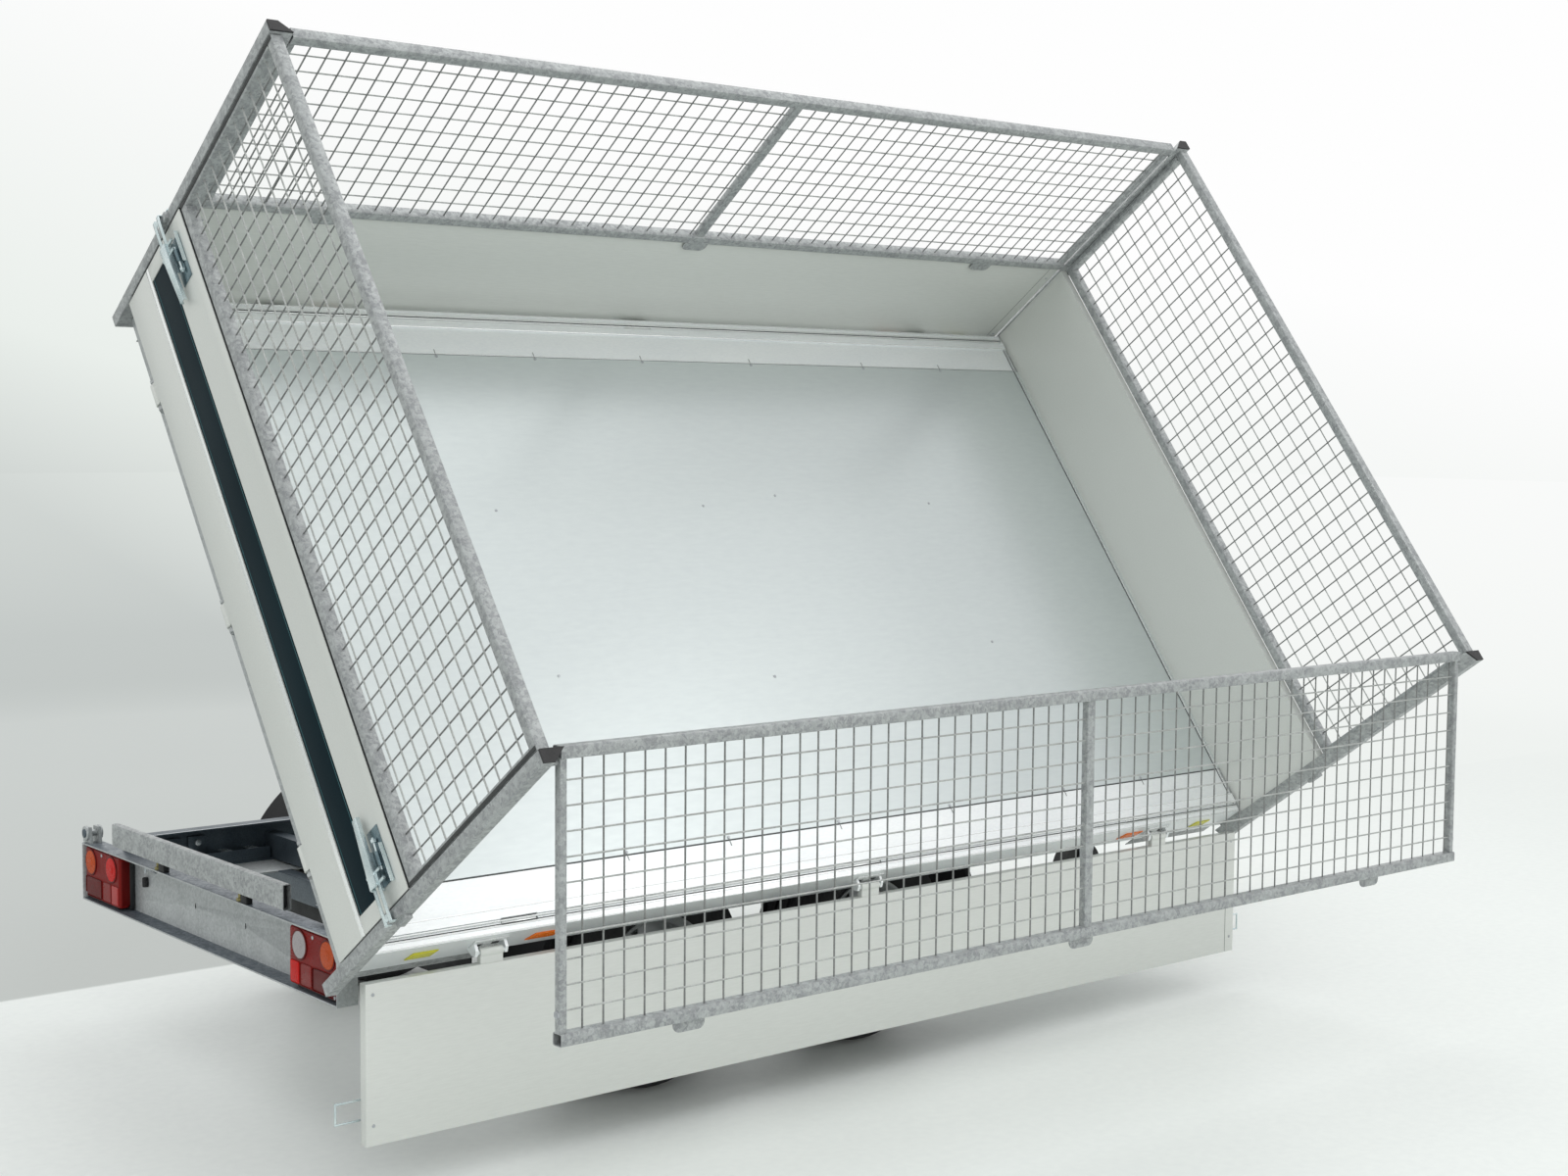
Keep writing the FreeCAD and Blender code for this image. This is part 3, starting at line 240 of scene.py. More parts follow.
def eased(shape, amount):
    """Rounds the sharp edges of a whole shape a little."""
    sharp = [e for e in shape.edges if len(e.link_faces) == 2 and e.calc_face_angle(0.0) > math.radians(50)]
    bmesh.ops.bevel(shape, geom=sharp, offset=amount, segments=2, affect="EDGES", profile=0.5, material=-1,
                    clamp_overlap=True)


# A darker copy of the chassis steel: painted shade on the flanges of the rear beam.
flange_shade_steel = patchy("flange_shade_steel", tone(88, 96, 104), tone(122, 130, 137), 16, 300, (0.34, 0.48),
                      metal=0.5, bump=0.08, crystal=120)
wire_steel = patchy("wire_steel", tone(150, 158, 162), tone(206, 210, 212), 60, 500, (0.22, 0.34),
                    metal=0.8, bump=0.04)
web_back = 0.189
rear_beam = merged("rear_beam", on_chassis)
eased(rear_beam, 0.0012)
rear_beam.normal_update()
# Faces that lie level, on the flanges, take the darker copy as painted shade.
for face in rear_beam.faces:
    if abs(face.normal.z) > 0.9:
        face.material_index = 1
# Dark insets where the number plate slits are: painted shade in them.
for y in (-0.175, 0.117):
    block(rear_beam, (web_back - 0.0006, web_back + 0.001), (y - 0.0016, y + 0.0016), (0.432, 0.446), 0, 2)
plug_x, hook_x = web_back - 0.006, web_back - 0.012
round_bar(rear_beam, (plug_x, 0.418, 0.466), (plug_x, 0.418, 0.440), 0.0085, 12, 2, 0.002)
for end_y, low, high in ((0.404, 0.480, 0.512), (0.330, 0.508, 0.508), (0.336, 0.496, 0.492)):
    round_bar(rear_beam, (hook_x, 0.404, low), (hook_x, end_y, high), 0.0026, 10, 3)
fitted("rear_beam_dressed", rear_beam, [chassis_steel, flange_shade_steel, shade_and_rubber_black, wire_steel], "chassis",
       stands_for=("rear_beam",))


# Pivot seats and rail fittings
# Each seat carries the tipping pin between two cheeks with turned collars. Bolted brackets and a folded
# brace stiffen each side rail, and a thin pale bar along its top lip paints the highlight there; a cross
# channel ties the two.
# Pale: a painted highlight along the top lips of the side rails.
rail_lip_highlight = patchy("rail_lip_highlight", tone(196, 202, 205), tone(218, 222, 224), 30, 400, (0.3, 0.4),
                    metal=0.3, bump=0.05)
pin_side, pin_height = 0.735, 0.545
rail_inner, rail_outer = 0.537, 0.5806
fittings = bmesh.new()
for side in (-1, 1):
    pin_y = side * pin_side
    for x in (0.1465, 0.1855):
        round_bar(fittings, (x - 0.004, pin_y, pin_height), (x + 0.004, pin_y, pin_height), 0.021, 28,
                  edge=0.0025)
    round_bar(fittings, (0.139, pin_y, pin_height), (0.150, pin_y, pin_height), 0.0125, 20, 1, 0.003)
    for x in (0.330, 0.405):
        block(fittings, (x - 0.026, x + 0.026), (side * 0.572, side * rail_outer), (0.462, 0.532), 0.002, 1)
        for z in (0.478, 0.514):
            round_bar(fittings, (x, side * 0.572, z), (x, side * 0.562, z), 0.010, 6, 2, 0.0012)
            round_bar(fittings, (x, side * 0.563, z), (x, side * 0.556, z), 0.0055, 12, 2, 0.001)
    block(fittings, (0.1935, 0.615), (side * rail_inner, side * 0.541), (0.449, 0.484), 0.0012, 1)
    # A thin pale bar along the top lip of the rail: painted highlight.
    round_bar(fittings, (0.196, side * 0.5375, 0.5535), (2.955, side * 0.5375, 0.5535), 0.0026, 10, 3)
    for x in ((0.470, 0.500), (0.550, 0.580)):
        block(fittings, x, (side * 0.541, side * 0.5805), (0.481, 0.4845), 0.0012, 2)
between_rails = (-0.5800, 0.5800)
block(fittings, (0.560, 0.600), between_rails, (0.376, 0.4445), 0.003, 1)
block(fittings, (0.452, 0.640), (0.380, 0.5800), (0.4400, 0.4448), 0.0010)
# A thin dark sheet across between the rails, behind the cross channel: painted shade inside the chassis.
block(fittings, (0.600, 0.604), between_rails, (0.300, 0.4445), 0.0010, 4)
fitted("rail_fittings", fittings, [chassis_steel, rail_shade_steel, wire_steel, rail_lip_highlight, shade_and_rubber_black],
       "chassis")


# Wheels
# Four commercial tyres on silver-painted pressed steel rims. The tread is moulded with three grooves
# round the tyre and short cross cuts; the sidewall bulges and carries a raised ring.
tyre_rubber = patchy("tyre_rubber", tone(30, 30, 31), tone(46, 46, 47), 8, 300, (0.62, 0.8), bump=0.25)
rim_silver = patchy("rim_silver", tone(168, 171, 172), tone(196, 199, 199), 5, 500, (0.32, 0.42),
                    metal=0.55, bump=0.05)
axle_places = (1.040, 1.765)
wheel_middle = 0.6925
wheel_height = 0.290
tyre_steps = 96
tyre_line = ((-0.080, 0.169), (-0.088, 0.184), (-0.0922, 0.210), (-0.0922, 0.232), (-0.0895, 0.236),
             (-0.088, 0.252), (-0.079, 0.272), (-0.070, 0.2795), (-0.060, 0.2855), (-0.047, 0.2885),
             (-0.046, 0.281), (-0.040, 0.281), (-0.039, 0.2890), (-0.006, 0.2898), (-0.005, 0.282))


def tyre(x, side):
    """The tyre's outline is drawn for one half, mirrored, and spun round the axle."""
    shape = bmesh.new()
    line = list(tyre_line) + [(-along, out) for along, out in reversed(tyre_line)]
    spots = [shape.verts.new((0, along, out)) for along, out in line]
    edges = [shape.edges.new(pair) for pair in zip(spots, spots[1:])]
    edges.append(shape.edges.new((spots[-1], spots[0])))
    bmesh.ops.spin(shape, geom=spots + edges, cent=(0, 0, 0), axis=(0, 1, 0), dvec=(0, 0, 0),
                   angle=math.tau, steps=tyre_steps, use_merge=True)
    bmesh.ops.remove_doubles(shape, verts=shape.verts, dist=1e-5)
    bmesh.ops.recalc_face_normals(shape, faces=shape.faces)
    cuts = []
    for face in shape.faces:
        middle = face.calc_center_median()
        out = math.hypot(middle.x, middle.z)
        turn = int((math.atan2(middle.z, middle.x) + math.pi) / math.tau * tyre_steps)
        on_tread = out > 0.2865 and turn % 3 == (0 if middle.y > 0 else 1)
        on_shoulder = 0.275 < out < 0.283 and abs(middle.y) > 0.068 and turn % 3 == 2
        if on_tread or on_shoulder:
            cuts.append(face)
    bmesh.ops.inset_individual(shape, faces=cuts, thickness=0.0012, depth=0.0, use_even_offset=True)
    for face in cuts:
        middle = face.calc_center_median()
        inward = Vector((-middle.x, 0, -middle.z)).normalized() * 0.005
        bmesh.ops.translate(shape, verts=face.verts, vec=inward)
    bmesh.ops.translate(shape, verts=shape.verts, vec=(x, side * wheel_middle, wheel_height))
    return shape


for end, x in zip(("rear", "front"), axle_places):
    for side, hand in ((-1, "right"), (1, "left")):
        place = "%s_%s" % (end, hand)
        fitted("tyre_dressed_" + place, tyre(x, side), [tyre_rubber], "wheel_" + place,
               stands_for=("tyre_" + place,))
        dress("rim_" + place, rim_silver)


# Mudguards
# One long guard over both wheels of a side, formed from black plastic with a fine moulded grain.
# It is dull, so little of the sky shows in it.
guard_plastic = patchy("guard_plastic", tone(20, 21, 22), tone(30, 31, 32), 6, 420, (0.62, 0.76), bump=0.3)
guard_plastic.node_tree.nodes["Principled BSDF"].inputs["Specular IOR Level"].default_value = 0.22
dress("mudguard_left", guard_plastic)
dress("mudguard_right", guard_plastic)


# Tail lamps
# Each lamp is a black tray with a clear red moulding over it: an amber round lens at the outer top,
# a second round lens at the inner top and a bright red block under it. Screws hold the moulding.
def moulding(name, colour, rough, see_through, ribs, gleam=0.12):
    """Coloured clear plastic, finely ribbed on the inside."""
    dark = tuple(part * 0.75 for part in colour[:3]) + (1,)
    made = patchy(name, dark, colour, 12, 200, (rough, rough + 0.1), bump=0.5)
    tree = made.node_tree
    shader = tree.nodes["Principled BSDF"]
    shader.inputs["Transmission Weight"].default_value = see_through
    shader.inputs["IOR"].default_value = 1.49
    shader.inputs["Specular IOR Level"].default_value = gleam
    place = tree.nodes["Texture Coordinate"].outputs["Object"]
    stripes = wired(tree, "TexWave", {"Vector": place, "Scale": ribs}, bands_direction="Y")
    tree.links.new(stripes.outputs["Fac"], tree.nodes["Bump"].inputs["Height"])
    return made


tray_black = patchy("tray_black", tone(16, 16, 17), tone(28, 28, 29), 10, 300, (0.4, 0.55), bump=0.1)
lamp_red = moulding("lamp_red", tone(128, 22, 18), 0.24, 0.04, 60)
lamp_deep = moulding("lamp_deep", tone(96, 14, 12), 0.28, 0.02, 60)
lamp_bright = moulding("lamp_bright", tone(206, 22, 16), 0.2, 0.05, 95)
lamp_amber = moulding("lamp_amber", tone(196, 78, 24), 0.22, 0.05, 130)
lamp_pink = moulding("lamp_pink", tone(186, 52, 50), 0.14, 0.05, 200, 0.4)
lamp_clear = moulding("lamp_clear", tone(196, 190, 190), 0.1, 0.25, 130, 0.5)
screw_zinc = patchy("screw_zinc", tone(150, 154, 158), tone(196, 199, 202), 60, 500, (0.28, 0.4),
                    metal=0.75, bump=0.05)
lamp_finishes = [tray_black, lamp_red, lamp_bright, lamp_amber, lamp_clear, lamp_pink, lamp_deep, screw_zinc]
lamp_low, lamp_high = 0.362, 0.513
lamp_near, lamp_far = 0.497, 0.740
lens_z = 0.470
mirrored = Matrix.Diagonal((1, -1, 1, 1))


def tail_lamp(inner_lens, inner_block):
    """Drawn on the left; the two sides differ in their inner lens and the block under it."""
    shape = bmesh.new()
    block(shape, (0.172, 0.188), (lamp_near, lamp_far), (lamp_low, lamp_high), 0.004)
    block(shape, (0.150, 0.174), (lamp_near + 0.030, lamp_far), (lamp_low, lamp_high), 0.003)
    block(shape, (0.1435, 0.174), (lamp_near + 0.002, lamp_far - 0.007),
          (lamp_low + 0.006, lamp_high - 0.003), 0.008, 1, 3)
    block(shape, (0.1500, 0.1730), (lamp_near + 0.0012, lamp_near + 0.0030),
          (lamp_low + 0.014, lamp_high - 0.014), 0.0006, 6)
    for y, finish in ((lamp_far - 0.048, 3), (lamp_near + 0.056, inner_lens)):
        round_bar(shape, (0.1450, y, lens_z), (0.1412, y, lens_z), 0.0375, 36, 6, 0.001)
        round_bar(shape, (0.1450, y, lens_z), (0.1402, y, lens_z), 0.0335, 36, finish, 0.0024)
        round_bar(shape, (0.1404, y, lens_z), (0.1398, y, lens_z), 0.012, 24, finish, 0.0004)
    low_row = (lamp_low + 0.012, lamp_low + 0.066)
    split = lamp_near + 0.054
    block(shape, (0.1408, 0.146), (lamp_near + 0.010, split), low_row, 0.004, inner_block)
    block(shape, (0.1422, 0.146), (split + 0.006, split + 0.062), low_row, 0.004, 1)
    block(shape, (0.1418, 0.146), (split + 0.068, lamp_far - 0.014), low_row, 0.005, 6)
    for y, z in ((lamp_far - 0.014, lamp_low + 0.015), (lamp_near + 0.122, lamp_high - 0.014)):
        round_bar(shape, (0.145, y, z), (0.1418, y, z), 0.005, 12, 7, 0.001)
    return shape


fitted("tail_lamp_left", tail_lamp(2, 5), lamp_finishes, "chassis", stands_for=("tail_lamps",))
fitted("tail_lamp_right", tail_lamp(4, 2), lamp_finishes, "chassis", on_chassis @ mirrored,
       ("tail_lamps",))


# Drawbar fittings
# Cast overrun housing, rubber bellows, pressed and zinc-plated coupling head, handbrake and jockey
# wheel, and a moulded plastic box for the battery and the pump.
cast_black = patchy("cast_black", tone(30, 31, 33), tone(52, 53, 55), 12, 180, (0.45, 0.65),
                    metal=0.2, bump=0.5)
soft_rubber = patchy("soft_rubber", tone(22, 22, 22), tone(36, 36, 36), 10, 260, (0.6, 0.75), bump=0.2)
box_plastic = patchy("box_plastic", tone(28, 29, 30), tone(42, 43, 44), 5, 420, (0.48, 0.6), bump=0.25)
zinc_plated = patchy("zinc_plated", tone(158, 166, 172), tone(206, 212, 216), 30, 300, (0.26, 0.42),
                     metal=0.7, bump=0.08)
for node in ("overrun_housing", "gimbal_ring"):
    dress(node, cast_black)
for node in ("coupling_head", "handbrake_lever", "jockey_mast", "jockey_fork"):
    dress(node, zinc_plated)
for node in ("bellows", "jockey_wheel"):
    dress(node, soft_rubber)
dress("power_pack", box_plastic)


# Tipping cylinder
# A gloss black barrel in a gimbal, and hard-chromed stages that slide out of it.
# The chrome is ground and polished, so it is almost a mirror with a very fine grain.
barrel_paint = patchy("barrel_paint", tone(20, 20, 22), tone(30, 30, 32), 6, 300, (0.2, 0.32), bump=0.04)
hard_chrome = patchy("hard_chrome", tone(196, 198, 200), tone(222, 223, 224), 10, 600, (0.08, 0.16),
                     metal=1.0, bump=0.02)
dress("cylinder_barrel", barrel_paint)
for node in ("cylinder_stage_1", "cylinder_stage_2", "cylinder_rod"):
    dress(node, hard_chrome)


# Bed
# Galvanised frame and edge rails with a zinc-coated floor between them. The floor sheet is rolled, so
# its faint grain runs forward, and it shines more softly than the frame.
floor_zinc = patchy("floor_zinc", tone(200, 207, 207), tone(207, 214, 213), 1.3, 90, (0.28, 0.34),
                    metal=0.7, bump=0.02, stretch=(0.25, 1, 1))
rail_zinc = patchy("rail_zinc", tone(224, 228, 229), tone(236, 239, 238), 9, 240, (0.28, 0.38),
                   metal=0.5, bump=0.05, stretch=(0.35, 1, 1))
cap_plastic = patchy("cap_plastic", tone(22, 22, 23), tone(36, 36, 37), 20, 300, (0.45, 0.6), bump=0.15)
dress("bed_floor", floor_zinc)
dress("bed_frame", chassis_steel)
dress("edge_rail_left", rail_zinc)
dress("edge_rail_right", rail_zinc)
dress("corner_sockets", dipped_steel)
dress("post_caps", cap_plastic)


def about(point, degrees):
    """A turn about a line that runs forward through the point."""
    there = Matrix.Translation(Vector(point))
    return there @ Matrix.Rotation(math.radians(degrees), 4, "X") @ there.inverted()


# The bed is drawn level and then tipped about its right-hand pins.
tip_degrees = 54
on_bed = on_chassis @ about((0, -pin_side, pin_height), tip_degrees)


# Floor seams
# Rolled lips and dark joints along both edge rails and across the front of the floor sheet, with a
# bright edge under each lashing slot of the rails. The lips and edges are near-white and glossy, partly
# painted highlight; the floor's left edge has a bright strip of painted highlight, its right edge a dark
# strip of painted shadow.
# Near-white and glossy: painted highlight on the lips and edges.
lip_highlight = patchy("lip_highlight", tone(228, 231, 230), tone(240, 242, 241), 12, 300, (0.16, 0.24),
                    metal=0.7, bump=0.03)
# Near black: dark joints, and painted shade at the floor's right edge and down the end mesh stiles.
joint_and_shade_dark = patchy("joint_and_shade_dark", tone(40, 42, 42), tone(58, 60, 60), 20, 300, (0.5, 0.7), bump=0.1)
floor_top = 0.785
rail_ends = (0.060, 3.050)
lip_x = 3.0455
seams = bmesh.new()
for side in (-1, 1):
    for y, half_wide, finish in ((0.9030, 0.0020, 0), (0.8880, 0.0020, 0), (0.8835, 0.0012, 1)):
        block(seams, rail_ends, (side * (y - half_wide), side * (y + half_wide)),
              (floor_top, floor_top + 0.0012), 0.0004, finish)
    for y in (0.8765, 0.8480):
        round_bar(seams, (rail_ends[0], side * y, floor_top + 0.0040),
                  (rail_ends[1], side * y, floor_top + 0.0040), 0.0018, 10)
    for x in (0.464, 1.540, 2.600):
        block(seams, (x - 0.047, x + 0.047), (side * 0.8725, side * 0.8835),
              (floor_top - 0.004, floor_top - 0.001), 0.0006)
# A bright strip along the floor's left edge: painted highlight.
block(seams, rail_ends, (0.7590, 0.7612), (floor_top, floor_top + 0.0014), 0.0004)
# A dark strip along the floor's right edge: painted shadow.
block(seams, rail_ends, (-0.7614, -0.7590), (floor_top, floor_top + 0.0006), 0, 1)
block(seams, (lip_x - 0.0016, lip_x + 0.0016), (-0.880, 0.880), (floor_top, floor_top + 0.0030), 0.0006)
block(seams, (lip_x - 0.0060, lip_x - 0.0030), (-0.880, 0.880), (floor_top, floor_top + 0.0006), 0, 1)
fitted("floor_seams", seams, [lip_highlight, joint_and_shade_dark], "bed", on_bed)


# Floor screws
# Low zinc-plated heads hold the floor sheet to the cross members and along its two seams, where a
# short darker streak runs from each towards the rail.
screw_streak = patchy("screw_streak", tone(120, 124, 122), tone(150, 153, 151), 30, 200, (0.4, 0.6), metal=0.3, bump=0.1)
screws = bmesh.new()
for x in (0.820, 1.137, 1.506, 1.911, 2.365, 2.698):
    for side in (-1, 1):
        round_bar(screws, (x, side * 0.752, floor_top), (x, side * 0.752, floor_top + 0.0018), 0.0045, 14, 0,
                  0.0008)
        block(screws, (x - 0.0012, x + 0.0012), (side * 0.750, side * 0.775), (floor_top, floor_top + 0.0008),
              0, 1)
for x, y in ((0.822, 0.250), (1.505, 0.250), (1.780, 0.280), (2.370, 0.240), (0.820, -0.253),
             (1.500, -0.307), (2.360, -0.255)):
    round_bar(screws, (x, y, floor_top), (x, y, floor_top + 0.0014), 0.0042, 14, 0, 0.0006)
fitted("floor_screws", screws, [screw_zinc, screw_streak], "bed", on_bed)


# Edge rail fittings
# Bright die-cast hinge plates sit over the brackets of both edge rails, and folded skirts close the
# frame below them near the corners. The stick-on reflectors, yellow near the corners and orange
# further in, are lozenges of clear plastic over a ribbed back.
cast_bright = patchy("cast_bright", tone(206, 209, 209), tone(232, 234, 233), 20, 300, (0.22, 0.36),
                     metal=0.45, bump=0.06)
side_amber = moulding("side_amber", tone(238, 118, 20), 0.2, 0.05, 90, 0.3)
side_yellow = moulding("side_yellow", tone(214, 210, 48), 0.2, 0.05, 90, 0.3)
rail_out = 0.906
reflector_z = (0.722, 0.753)


def lozenge(shape, x, slant, finish):
    """A flat reflector with slanted ends."""
    made = block(shape, x, (rail_out, rail_out + 0.0025), reflector_z, 0.0, finish)
    middle = (x[0] + x[1]) / 2
    for vert in {v for f in made for v in f.verts}:
        if (vert.co.z > 0.74) == (vert.co.x < middle):
            vert.co.x += slant if vert.co.x < middle else -slant
    rounded(shape, list({e for f in made for e in f.edges}), 0.0008)


def edge_rail_fittings():
    """Drawn on the left and mirrored for the right."""
    shape = bmesh.new()
    for x in (0.390, 1.555, 2.700):
        block(shape, (x - 0.046, x + 0.046), (rail_out, rail_out + 0.0034), (0.748, 0.767), 0.001)
        block(shape, (x - 0.016, x + 0.030), (rail_out, rail_out + 0.0040), (0.722, 0.750), 0.001)
        block(shape, (x - 0.046, x - 0.036), (rail_out, rail_out + 0.0034), (0.732, 0.750), 0.001)
        block(shape, (x + 0.006, x + 0.026), (rail_out + 0.0030, rail_out + 0.0044), (0.742, 0.752), 0, 1)
        block(shape, (x - 0.036, x - 0.016), (rail_out, rail_out + 0.0008), (0.730, 0.748), 0, 1)
    for x, slant, finish in (((0.180, 0.256), 0.010, 3), ((0.500, 0.596), 0.016, 2),
                             ((2.550, 2.640), 0.016, 2), ((2.872, 2.944), 0.010, 3)):
        lozenge(shape, x, slant, finish)
    for x in ((0.064, 0.424), (2.686, 3.046)):
        block(shape, x, (0.8920, 0.8940), (0.628, 0.712), 0.0006, 4)
    return shape


for hand, place in (("left", on_bed), ("right", on_bed @ mirrored)):
    fitted("rail_fittings_" + hand, edge_rail_fittings(),
           [cast_bright, joint_and_shade_dark, side_amber, side_yellow, dipped_steel], "bed", place)


# Panels round the load
# Hollow anodised profiles, satin and even, with a very fine grain along their length. At both ends every
# hinged panel has a plated over-centre latch: a pressed base with turned-up sides, a long folded lever,
# and a forked hook that grips the catch on the corner post. The base plate and a sleeve on the lower rod
# take a darker copy of the plating, painted shade.
panel_satin = patchy("panel_satin", tone(205, 208, 203), tone(213, 216, 211), 0.9, 240, (0.36, 0.44),
                     metal=0.25, bump=0.03, stretch=(0.12, 1, 1))
latch_zinc = patchy("latch_zinc", tone(184, 200, 203), tone(222, 232, 233), 30, 300, (0.16, 0.3),
                    metal=0.75, bump=0.06)
# A darker copy of the plating: painted shade on the latch base and on the sleeve of its rod.
latch_painted_shade = patchy("latch_painted_shade", tone(84, 104, 112), tone(130, 148, 154), 30, 300, (0.2, 0.34),
                     metal=0.8, bump=0.06)
panel_finishes = [panel_satin, latch_zinc, joint_and_shade_dark, screw_zinc, latch_painted_shade]
dress("front_wall", panel_satin)
latch_low = floor_top + 0.232
latch_high = latch_low + 0.080
latch_middle = (latch_low + latch_high) / 2
panel_inner, panel_outer = 0.9135, 0.9385
hung_side = on_bed @ about((0, -0.926, 0.740), 180 - tip_degrees) @ mirrored


def without_latches(shape, sits_out):
    """Takes the plain latches of the solid off a copied panel and closes the face behind them."""
    gone = [f for f in shape.faces if sits_out(f.calc_center_median())
            and latch_low - 0.002 < f.calc_center_median().z < latch_high + 0.002]
    bmesh.ops.delete(shape, geom=gone, context="FACES")
    loose = [e for e in shape.edges if len(e.link_faces) == 1]
    bmesh.ops.holes_fill(shape, edges=loose, sides=0)


def latch(shape, place, rise, reach, thrown, wire_hook):
    """Drawn along X from the post towards the middle of the panel, with Z outwards."""
    before = set(shape.verts)
    # The base plate, in the darker copy of the plating: painted shade.
    block(shape, (0.036, 0.162), (-0.012, 0.038), (0, 0.0024), 0.0008, 4)
    for y in (-0.012, 0.0355):
        block(shape, (0.030, 0.120), (y, y + 0.0024), (0.0014, rise * 0.42), 0.0006, 1)
    lever_root = 0.040
    lever = block(shape, (lever_root, thrown), (-0.0155, 0.0155), (rise - 0.0024, rise), 0.0007, 1)
    for y in ((-0.0155, -0.0133), (0.0133, 0.0155)):
        lever += block(shape, (lever_root, thrown), y, (rise - 0.0095, rise - 0.0005), 0.0007, 1)
    for vert in {v for f in lever for v in f.verts}:
        along = (vert.co.x - lever_root) / (thrown - lever_root)
        vert.co.y *= 1.0 - 0.35 * along
        vert.co.z -= rise * 0.30 * along ** 2
        vert.co.y -= 0.016
    axle = rise * 0.62
    for x, reach_y in ((0.046, 0.024), (0.070, 0.020)):
        round_bar(shape, (x, -0.036, axle), (x, reach_y, axle), 0.0036, 12, 1)
        round_bar(shape, (x, -0.0365, axle), (x, -0.0325, axle), 0.0068, 16, 1, 0.001)
    if wire_hook:
        wire = axle + 0.0005
        for y in (-0.026, 0.020):
            round_bar(shape, (0.046, y, wire), (-reach, y, wire), 0.0025, 12, 1)
        round_bar(shape, (-reach, -0.0285, wire), (-reach, 0.0225, wire), 0.0025, 12, 1)
    else:
        top = axle + 0.0030
        for y in (-0.032, -0.008):
            block(shape, (-reach, 0.066), (y, y + 0.0125), (top - 0.0022, top), 0.0006, 1)
            block(shape, (-reach, 0.066), (y, y + 0.0018), (top - 0.0060, top), 0.0005, 1)
            block(shape, (-reach - 0.0022, -reach), (y, y + 0.0125), (rise * 0.22, top), 0.0006, 1)
        block(shape, (-reach + 0.004, -reach + 0.020), (-0.022, -0.007), (top - 0.0022, top - 0.0002),
              0.0004, 1)
    round_bar(shape, (0.066, 0.018, rise * 0.40), (0.140, 0.018, rise * 0.34), 0.0030, 10, 1)
    # A sleeve on the rod, in the darker copy: painted shade.
    round_bar(shape, (0.074, 0.018, rise * 0.40), (0.108, 0.018, rise * 0.37), 0.0052, 12, 4, 0.0008)
    round_bar(shape, (0.128, 0.018, rise * 0.35), (0.136, 0.018, rise * 0.345), 0.0066, 6, 1, 0.0008)
    bmesh.ops.transform(shape, matrix=place, verts=[v for v in shape.verts if v not in before])


def rivet(shape, spot, out):
    """A low round head that stands out from a face."""
    spot, out = Vector(spot), Vector(out)
    round_bar(shape, spot - out * 0.0005, spot + out * 0.0016, 0.0042, 12, 3, 0.0007)


def dropside(place, node):
    """Drawn shut and level on the left, with its inner face towards the centre line."""
    shape = merged(node, place)
    without_latches(shape, lambda spot: spot.y > panel_outer + 0.0002)
    eased(shape, 0.0012)
    joint = (3.0092, 3.0108)
    block(shape, joint, (panel_inner - 0.00015, panel_inner + 0.0005), (0.7665, 1.1285), 0, 2)
    block(shape, joint, (panel_outer - 0.0005, panel_outer + 0.00015), (0.7665, 1.1285), 0, 2)
    for y, out in ((panel_inner, (0, -1, 0)), (panel_outer, (0, 1, 0))):
        for x in (0.080, 3.030):
            for z in (0.790, 1.085):
                rivet(shape, (x, y, z), out)
    upright = Matrix(((1, 0, 0, 0), (0, 0, 1, panel_outer), (0, 1, 0, latch_middle), (0, 0, 0, 1)))
    backwards = Matrix.Diagonal((-1, 1, 1, 1))
    latch(shape, Matrix.Translation((0.070, 0, 0)) @ upright, 0.0115, 0.0665, 0.196, True)
    latch(shape, Matrix.Translation((3.040, 0, 0)) @ backwards @ upright, 0.0115, 0.0665, 0.196, True)
    return shape


for hand, place in (("left", on_bed), ("right", hung_side)):
    fitted("dropside_%s_dressed" % hand, dropside(place, "dropside_" + hand), panel_finishes,
           "dropside_%s_panel" % hand, place, ("dropside_" + hand,))


# Tailgate
# The same hollow profile as the dropsides. Its end profiles close the recess of its band, a dark joint
# runs along its top edge, and its latches stand taller, so that they hook over the corner posts.
tailgate = merged("tailgate", on_bed)
without_latches(tailgate, lambda spot: spot.x < 0.0014)
eased(tailgate, 0.0010)
for side in (-1, 1):
    out_back = Matrix(((0, 0, -1, 0.0015), (-side, 0, 0, side * 0.897), (0, 1, 0, latch_middle),
                       (0, 0, 0, 1)))
    latch(tailgate, out_back, 0.0255, 0.0425, 0.203, False)
    block(tailgate, (0.0016, 0.0060), (side * 0.8620, side * 0.9045), (0.9056, 1.0066), 0.0006)
block(tailgate, (0.0035, 0.0235), (-0.903, 0.903), (1.1288, 1.1320), 0, 2)
fitted("tailgate_dressed", tailgate, panel_finishes, "tailgate_panel", on_bed, ("tailgate",))


# Corner posts
# Folded steel posts with the latches' catches welded on, dipped together. Set screws hold the mesh
# frames, and a dark seal closes the gap between each post and the panel beside it.
bed_length = 3.110
end_for_end = Matrix.Translation((bed_length, 0, 0)) @ Matrix.Diagonal((-1, 1, 1, 1))
posts = merged("corner_posts", on_bed)
eased(posts, 0.0012)
for mirror in (Matrix.Identity(4), mirrored, end_for_end, mirrored @ end_for_end):
    before = set(posts.verts)
    for z in (1.145, 1.42):
        round_bar(posts, (0.0285, 0.9110, z), (0.0285, 0.9065, z), 0.006, 6, 0, 0.001)
    block(posts, (0.0022, 0.0110), (0.9056, 0.9098), (0.790, 1.128), 0, 1)
    bmesh.ops.transform(posts, matrix=mirror, verts=[v for v in posts.verts if v not in before])
fitted("corner_posts_dressed", posts, [dipped_steel, joint_and_shade_dark], "bed", on_bed,
       ("corner_posts",))


